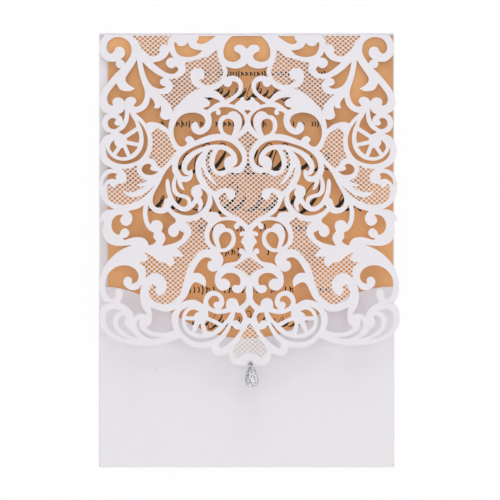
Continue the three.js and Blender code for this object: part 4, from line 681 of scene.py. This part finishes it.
def smooth_line(points, steps):
    """Points of the smooth closed line through the drawn ones."""
    spots = [Vector(p[:2]) for p in points]
    sharp = [len(p) > 2 for p in points]
    count = len(points)
    line = []
    for i in range(count):
        start, end = spots[i], spots[(i + 1) % count]
        chord = end - start
        leave = chord if sharp[i] else (end - spots[i - 1]) * 0.5
        ahead = spots[(i + 2) % count]
        arrive = chord if sharp[(i + 1) % count] else (ahead - start) * 0.5
        reach = chord.length
        leave = leave.normalized() * min(leave.length, reach)
        arrive = arrive.normalized() * min(arrive.length, reach)
        first, second = start + leave / 3, end - arrive / 3
        for k in range(steps):
            t = k / steps
            near, far = (1 - t) ** 3, t**3
            line.append(
                start * near
                + first * (3 * t * (1 - t) ** 2)
                + second * (3 * t * t * (1 - t))
                + end * far
            )
    return line


def with_mirror(half):
    """A right half closed by its mirror image."""
    return half + [(-p[0],) + tuple(p[1:]) for p in reversed(half[1:-1])]


def lace_loops(steps):
    """The outline, the openings and the lattice fields as closed lines."""
    start = (FLAP_START - LACE_SINK,)
    edge = [(0.0,) + start, (FLAP_EDGE[0][0],) + start + (TIP,)] + FLAP_EDGE
    outline = smooth_line(with_mirror(edge), steps)

    def both(middle, sides):
        loops = [smooth_line(with_mirror(half), steps) for half in middle]
        for points in sides.values():
            line = smooth_line(points, steps)
            loops.append(line)
            loops.append([Vector((-p.x, p.y)) for p in reversed(line)])
        return loops

    openings = both(MIDDLE_OPENINGS, SIDE_OPENINGS)
    fields = both(MIDDLE_FIELDS, SIDE_FIELDS)
    return outline, openings, fields


def inside(loop, spots):
    """Which of the spots lie inside a closed line."""
    ring = np.array([tuple(p) for p in loop])
    low, high = ring.min(0), ring.max(0)
    near = np.nonzero(np.all((spots > low) & (spots < high), axis=1))[0]
    x, y = spots[near, 0], spots[near, 1]
    found = np.zeros(len(near), bool)
    for (x1, y1), (x2, y2) in zip(ring, np.roll(ring, -1, axis=0)):
        if y1 != y2:
            crosses = ((y1 > y) != (y2 > y)) & (x < (x2 - x1) * (y - y1) / (y2 - y1) + x1)
            found ^= crosses
    result = np.zeros(len(spots), bool)
    result[near[found]] = True
    return result


def lattice_gaps(lattice, spots):
    """Which of the spots lie in a rhombic gap of the lattice."""
    across = spots[:, 0] / lattice.across
    down = (spots[:, 1] - lattice.start) / lattice.down
    share = gap_share(lattice)
    gaps = np.zeros(len(spots), bool)
    for shift in (0.0, 0.5):
        p, q = across - shift, down - shift
        gaps |= 2 * (np.abs(p - np.round(p)) + np.abs(q - np.round(q))) < share
    return gaps


def gap_share(lattice):
    """Size of a gap against its cell, after the bars have taken their width."""
    slant = math.hypot(lattice.across, lattice.down)
    spacing = lattice.across * lattice.down / slant
    return 1 - lattice.bar / spacing


def lattice_diamonds(lattice, fields):
    """The corners of each gap that reaches into a field."""
    share = gap_share(lattice) / 2
    corners = [(lattice.across * share, 0), (0, lattice.down * share)]
    corners += [(-a, -b) for a, b in corners]
    centres = []
    for shift in (0.0, 0.5):
        columns = np.arange(*LATTICE_COLUMNS) + shift
        rows = np.arange(*LATTICE_ROWS) + shift
        grid = np.stack(np.meshgrid(columns, rows), -1).reshape(-1, 2)
        centres.append(grid * (lattice.across, lattice.down) + (0, lattice.start))
    centres = np.concatenate(centres)
    wanted = np.zeros(len(centres), bool)
    for loop in fields:
        for across, down in [(0, 0)] + corners:
            wanted |= inside(loop, centres + (across, down))
    return [[Vector((x + a, y + b)) for a, b in corners] for x, y in centres[wanted]]


def cut_lace(card):
    """The flat lace as a bmesh, drawn from its middle and its fold."""
    outline, openings, fields = lace_loops(card.steps)
    diamonds = lattice_diamonds(card, fields)
    verts, edges = [], []
    for loop in [outline] + openings + fields + diamonds:
        first = len(verts)
        verts += loop
        edges += [(first + i, first + (i + 1) % len(loop)) for i in range(len(loop))]
    spots, _, faces, *_ = delaunay_2d_cdt(verts, edges, [], 0, 1e-5)
    flat = np.array([tuple(p) for p in spots])
    middles = flat[np.array(faces)].mean(1)
    kept = inside(outline, middles)
    for loop in openings:
        kept &= ~inside(loop, middles)
    latticed = np.zeros(len(middles), bool)
    for loop in fields:
        latticed |= inside(loop, middles)
    kept &= ~(latticed & lattice_gaps(card, middles))
    sheet = bmesh.new()
    made = [sheet.verts.new((p.x, -p.y, 0)) for p in spots]
    singe = sheet.faces.layers.float.new("singe")
    for i in np.nonzero(kept)[0]:
        face = sheet.faces.new([made[k] for k in faces[i]])
        face[singe] = float(latticed[i])
    loose = [v for v in sheet.verts if not v.link_faces]
    bmesh.ops.delete(sheet, geom=loose, context="VERTS")
    return sheet


def onto_flap():
    """Takes the flat lace to where the flap is, in metres."""
    shear = Matrix.Identity(4)
    shear[0][1] = -RAKE
    lay = Matrix.Translation((0, FLAP_START, 0))
    turn = Matrix.Rotation(-LIFT, 4, "X")
    rise = FOLD_RADIUS + FOLD_INSIDE * math.cos(LIFT)
    move = Matrix.Translation((0, CARD_HEIGHT / 2 - FLAP_START, rise))
    return Matrix.Scale(MM, 4) @ move @ turn @ lay @ shear


def finish_piece(mesh_data, name, material, slot, *nodes, angle=35.0):
    """Turns a bmesh into a piece that rides on the card."""
    mesh = bpy.data.meshes.new(name)
    mesh_data.to_mesh(mesh)
    mesh_data.free()
    mesh.materials.append(material)
    mesh.shade_smooth()
    mesh.set_sharp_from_angle(angle=math.radians(angle))
    piece = bpy.data.objects.new(name, mesh)
    bpy.context.scene.collection.objects.link(piece)
    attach(piece, "root")
    if nodes:
        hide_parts(*nodes)
    return piece


def number_setting(name, description, value, unit="NONE"):
    """A number among the settings of the scene."""
    return bpy.props.FloatProperty(name=name, description=description, default=value, unit=unit)


class CardSettings(bpy.types.PropertyGroup):
    """Sizes of the fine lace."""

    across: number_setting("Lattice across", "Width of one lattice cell in mm", 2.2)
    down: number_setting("Lattice down", "Height of one lattice cell in mm", 1.91)
    start: number_setting("Lattice start", "Start of the lattice down the flap in mm", 44.7)
    bar: number_setting("Lattice bar", "Width of a lattice bar in mm", 0.29)
    steps: bpy.props.IntProperty(
        name="Curve steps", description="Points between two drawn ones", default=6, min=1
    )


def colour_setting(name, description, value):
    """A colour among the settings of the scene."""
    return bpy.props.FloatVectorProperty(
        name=name, description=description, subtype="COLOR", size=4, min=0, max=1, default=value
    )


class CardColours(bpy.types.PropertyGroup):
    """Colours of the papers, the ink and the gem."""

    pearl: colour_setting("Pearl paper", "Colour of the folded sheet", (0.80, 0.765, 0.80, 1.0))
    # The warm tint of the cut walls and the lattice bars
    warm_edge: colour_setting("Warm edge", "Colour of cut edges and bars", (0.88, 0.81, 0.775, 1.0))
    gold: colour_setting("Gold paper", "Colour of the inserted card", (0.815, 0.425, 0.178, 1.0))
    ink: colour_setting("Ink", "Colour of the printed marks", (0.02, 0.014, 0.01, 1.0))
    silver: colour_setting("Gem", "Brightest tone of the gem", (0.9, 0.9, 0.94, 1.0))


class StageSettings(bpy.types.PropertyGroup):
    """Camera, lamps and floor."""

    height: number_setting("Camera height", "Height of the camera over the card", 0.545, "LENGTH")
    view_width: number_setting("View width", "Width seen at the card", 0.2121, "LENGTH")
    sky: number_setting("Sky", "Brightness of the even light", 0.34)
    lamp: number_setting("Lamp", "Power of the lamps before their shares", 2.6, "POWER")


class CARD_OT_folded_sheet(bpy.types.Operator):
    """Builds the folded sheet with its fine lace flap"""

    bl_idname = "card.folded_sheet"
    bl_label = "Folded sheet"

    def execute(self, context):
        card = context.scene.card_settings
        colours = context.scene.card_colours
        lace = cut_lace(card)
        grown = bmesh.ops.extrude_face_region(lace, geom=lace.faces[:])
        raised = [g for g in grown["geom"] if isinstance(g, bmesh.types.BMVert)]
        bmesh.ops.translate(lace, verts=raised, vec=(0, 0, PAPER))
        bmesh.ops.recalc_face_normals(lace, faces=lace.faces[:])
        singe = lace.faces.layers.float["singe"]
        for face in lace.faces:
            if abs(face.normal.z) < 0.5:
                face[singe] = 1.0
        place = onto_flap()
        bmesh.ops.transform(lace, matrix=place, verts=lace.verts[:])
        lace_mesh = bpy.data.meshes.new("lace")
        lace.to_mesh(lace_mesh)
        lace.free()

        sheet = bmesh.new()
        sheet.from_mesh(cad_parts["wrap"].data)
        bmesh.ops.remove_doubles(sheet, verts=sheet.verts[:], dist=WELD)
        back = place.inverted()
        flap = set()
        for v in sheet.verts:
            spot = back @ v.co
            near = -FLAP_REACH < spot.z < PAPER + FLAP_REACH
            if near and spot.y < -FLAP_START - FLAP_MARGIN:
                flap.add(v)
        doomed = [f for f in sheet.faces if any(v in flap for v in f.verts)]
        bmesh.ops.delete(sheet, geom=doomed, context="FACES")
        bmesh.ops.holes_fill(sheet, edges=sheet.edges[:])
        sheet.from_mesh(lace_mesh)
        bpy.data.meshes.remove(lace_mesh)
        piece = finish_piece(sheet, "folded_sheet", pearl_paper(colours), "pearl_paper", "wrap")
        even = piece.modifiers.new("even_shading", "WEIGHTED_NORMAL")
        even.weight = 100
        even.keep_sharp = True
        return {"FINISHED"}


def pen_line(name, strokes, thickness, material):
    """Strokes of a broad pen, laid flat on the gold card."""
    curve = bpy.data.curves.new(name, "CURVE")
    curve.dimensions = "3D"
    curve.bevel_depth = thickness * MM / 2
    curve.bevel_resolution = 1
    curve.resolution_u = 4
    curve.use_fill_caps = True
    for stroke in strokes:
        spline = curve.splines.new("BEZIER")
        spline.bezier_points.add(len(stroke) - 1)
        for knot, (x, y, width) in zip(spline.bezier_points, stroke):
            knot.co = (x * MM, y * MM, 0)
            knot.radius = width
            knot.handle_left_type = knot.handle_right_type = "AUTO"
    maker = bpy.data.objects.new(name, curve)
    bpy.context.scene.collection.objects.link(maker)
    bpy.context.view_layer.update()
    seen = maker.evaluated_get(bpy.context.evaluated_depsgraph_get())
    marks = bmesh.new()
    marks.from_mesh(seen.to_mesh())
    seen.to_mesh_clear()
    bpy.data.objects.remove(maker)
    bpy.data.curves.remove(curve)
    bmesh.ops.scale(marks, verts=marks.verts[:], vec=(1, 1, PEN_FLATNESS))
    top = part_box("insert_card")[1].z
    bmesh.ops.translate(marks, verts=marks.verts[:], vec=(0, 0, top + PEN_GAP))
    return finish_piece(marks, name, material, "gold_paper")


def flourish(left, right, y, height, loops, seed, press):
    """A running pen ornament of slanted loops and waves."""
    chance = np.random.default_rng(seed)
    stroke = []
    for i in range(loops * KNOTS + 1):
        turn = i * math.tau / KNOTS
        if i % KNOTS == 0:
            swing = chance.choice(SWINGS)
        rise = -0.5 * height * swing * math.cos(turn) + 0.25 * height * (swing - 0.6)
        along = left + (right - left) * i / (loops * KNOTS)
        x = along + 0.3 * height * swing * math.sin(turn) + 0.45 * rise
        weight = press * (0.3 + 0.95 * max(0.0, math.sin(turn + 0.5)) ** 2)
        stroke.append((x, y + rise, weight))
    return stroke


def dash_row(left, right, y, size, seed):
    """A row of small upright and crooked ticks."""
    chance = np.random.default_rng(seed)
    strokes = []
    x = left
    while x < right:
        if chance.random() < TICK_CHANCES["blank"]:
            x += size * TICK_STEPS["blank"]
            continue
        lean = size * TICK_LEAN
        rise = size * TICK_HEIGHTS[0 if chance.random() < TICK_CHANCES["short"] else 1]
        middle = (x + lean * chance.random(), y, 1)
        strokes.append([(x, y - rise / 2, 1), middle, (x, y + rise / 2, 1)])
        if chance.random() < TICK_CHANCES["crook"]:
            strokes.append([(x + size * a, y + size * b, 0.8) for a, b in TICK_CROOK])
            x += size * TICK_STEPS["crook"]
        x += size * TICK_STEPS["tick"]
    return strokes


class CARD_OT_inserted_card(bpy.types.Operator):
    """Gives the inserted card its gold paper and its printed marks"""

    bl_idname = "card.inserted_card"
    bl_label = "Inserted card"

    def execute(self, context):
        colours = context.scene.card_colours
        ink = printing_ink(colours)
        paper = gold_paper(colours)
        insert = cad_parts["insert_card"].data
        insert.materials.clear()
        insert.materials.append(paper)
        ticks = [stroke for row in TICK_ROWS for stroke in dash_row(*row)]
        pen_line("small_marks", ticks, TICK_WIDTH, ink)
        loops = [flourish(*row) for row in PEN_FLOURISHES]
        pen_line("pen_flourishes", loops, PEN_WIDTH, ink)
        return {"FINISHED"}


def fuller_point(gem):
    """Rounds out the flanks of the gem near its point, and returns the point."""
    flap = onto_flap()
    back = flap.inverted()
    spots = [back @ v.co for v in gem.verts]
    point = max(spots, key=lambda p: p.y)
    middle = sum(spots, Vector()) / len(spots)
    along = Vector((middle.x - point.x, middle.y - point.y, 0)).normalized()
    across = Vector((-along.y, along.x, 0))
    for v, spot in zip(gem.verts, spots):
        near = 1 - (spot - point).dot(along) / GEM_FLANK
        if near > 0:
            fuller = GEM_FULLER[0] * near ** GEM_FULLER[1]
            v.co = flap @ (spot + across * ((spot - point).dot(across) * fuller))
    return flap @ point


class CARD_OT_drop_gem(bpy.types.Operator):
    """Dresses the drop-shaped gem at the tip of the flap"""

    bl_idname = "card.drop_gem"
    bl_label = "Drop gem"

    def execute(self, context):
        gem = bmesh.new()
        gem.from_mesh(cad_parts["drop_gem"].data)
        bmesh.ops.remove_doubles(gem, verts=gem.verts[:], dist=WELD)
        flat = math.radians(1)
        bmesh.ops.dissolve_limit(gem, angle_limit=flat, verts=gem.verts[:], edges=gem.edges[:])
        table = max(gem.faces, key=lambda f: f.calc_center_median().z)
        for ring in TABLE_RINGS:
            bmesh.ops.inset_region(gem, faces=[table], thickness=ring * MM)
        for longest in FACET_EDGES:
            sides = [e for e in gem.edges if e.calc_length() > longest * MM]
            bmesh.ops.subdivide_edges(gem, edges=sides, cuts=1)
            bmesh.ops.triangulate(gem, faces=gem.faces[:])
        large = POKED_AREA * MM * MM
        upper = [f for f in gem.faces if f.normal.z > 0.2 and f.calc_area() > large]
        bmesh.ops.poke(gem, faces=upper, offset=-POKE_DEPTH * MM, center_mode="MEAN")
        point = fuller_point(gem)
        chance = np.random.default_rng(GEM_SEED)
        flap = onto_flap().inverted()
        # Each facet gets a random tone of painted reflection, darker toward the point, and painted
        # shade on the facets below GEM_RIM
        tone = gem.faces.layers.float.new("tone")
        for face in gem.faces:
            middle = face.calc_center_median()
            away = (middle - point).length / MM
            height = (flap @ middle).z - PAPER
            shade = min(1.0, GEM_REFLECTION_TONES[0] + GEM_REFLECTION_TONES[1] * away)
            shade *= GEM_RIM_SHADE if height < GEM_RIM else 1.0
            face[tone] = chance.random() * shade
        silver = silver_gem(context.scene.card_colours)
        finish_piece(gem, "faceted_gem", silver, "silver_gem", "drop_gem", angle=1.0)
        return {"FINISHED"}


class CARD_OT_stage(bpy.types.Operator):
    """Sets the pale floor, the soft light and the camera straight above"""

    bl_idname = "card.stage"
    bl_label = "Stage"

    def execute(self, context):
        scene = context.scene
        settings = scene.stage_settings
        scene.view_settings.view_transform = "Standard"
        studio = Recipe("studio", "worlds", "Background")
        seen = studio.node("ShaderNodeLightPath", output="Is Camera Ray")
        level = studio.spread(seen, 0.0, 1.0, settings.sky, 1.0)
        studio.set(Color=(1, 1, 1, 1), Strength=level)
        scene.world = studio.block

        shape = bmesh.new()
        bmesh.ops.create_grid(shape, x_segments=1, y_segments=1, size=FLOOR_REACH)
        bmesh.ops.translate(shape, verts=shape.verts[:], vec=(0, 0, -FLOOR_DROP))
        mesh = bpy.data.meshes.new("floor")
        shape.to_mesh(mesh)
        shape.free()
        floor = bpy.data.objects.new("floor", mesh)
        scene.collection.objects.link(floor)
        recipe = Recipe("floor_white")
        recipe.set(Base_Color=(0.93, 0.93, 0.93, 1), Roughness=0.9, Specular_IOR_Level=0.1)
        glow = recipe.node("ShaderNodeEmission", inputs={"Color": (1, 1, 1, 1)})
        seen, mirrored, passed = (
            recipe.node("ShaderNodeLightPath", output="Is %s Ray" % kind)
            for kind in ("Camera", "Glossy", "Transmission")
        )
        share = (seen + mirrored + passed) * FLOOR_GLOW
        lit = Value(recipe, recipe.shader.outputs[0])
        blend = recipe.node("ShaderNodeMixShader", inputs={0: share, 1: lit, 2: glow})
        recipe.feed(recipe.tree.nodes["Material Output"].inputs["Surface"], blend)
        mesh.materials.append(recipe.block)

        for name, (spot, size, share) in LAMPS.items():
            lamp = bpy.data.lights.new(name, "AREA")
            lamp.size = size
            lamp.energy = settings.lamp * share
            lamp.use_shadow = name != "fill_lamp"
            holder = bpy.data.objects.new(name, lamp)
            holder.location = spot
            aim = Vector() - holder.location
            holder.rotation_euler = aim.to_track_quat("-Z", "Y").to_euler()
            scene.collection.objects.link(holder)

        view = bpy.data.cameras.new("camera")
        view.sensor_width = SENSOR
        view.lens = SENSOR * settings.height / settings.view_width
        eye = bpy.data.objects.new("camera", view)
        eye.location = (*EYE, settings.height)
        scene.collection.objects.link(eye)
        scene.camera = eye
        return {"FINISHED"}


class CARD_PT_sidebar(bpy.types.Panel):
    """Lists the pieces of the card"""

    bl_idname = "CARD_PT_sidebar"
    bl_label = "Invitation card"
    bl_space_type = "VIEW_3D"
    bl_region_type = "UI"
    bl_category = "Card"

    def draw(self, context):
        column = self.layout.column()
        for step in ("stage", "folded_sheet", "inserted_card", "drop_gem"):
            column.operator("card." + step)


SETTINGS = {
    "card_settings": CardSettings,
    "card_colours": CardColours,
    "stage_settings": StageSettings,
}
CLASSES = (
    *SETTINGS.values(),
    CARD_OT_folded_sheet,
    CARD_OT_inserted_card,
    CARD_OT_drop_gem,
    CARD_OT_stage,
    CARD_PT_sidebar,
)


def register():
    for cls in CLASSES:
        bpy.utils.register_class(cls)
    for name, kind in SETTINGS.items():
        setattr(bpy.types.Scene, name, bpy.props.PointerProperty(type=kind))


def unregister():
    for name in SETTINGS:
        delattr(bpy.types.Scene, name)
    for cls in reversed(CLASSES):
        bpy.utils.unregister_class(cls)


def main():
    register()
    bpy.ops.card.stage()
    bpy.ops.card.folded_sheet()
    bpy.ops.card.inserted_card()
    bpy.ops.card.drop_gem()


if __name__ == "__main__":
    main()
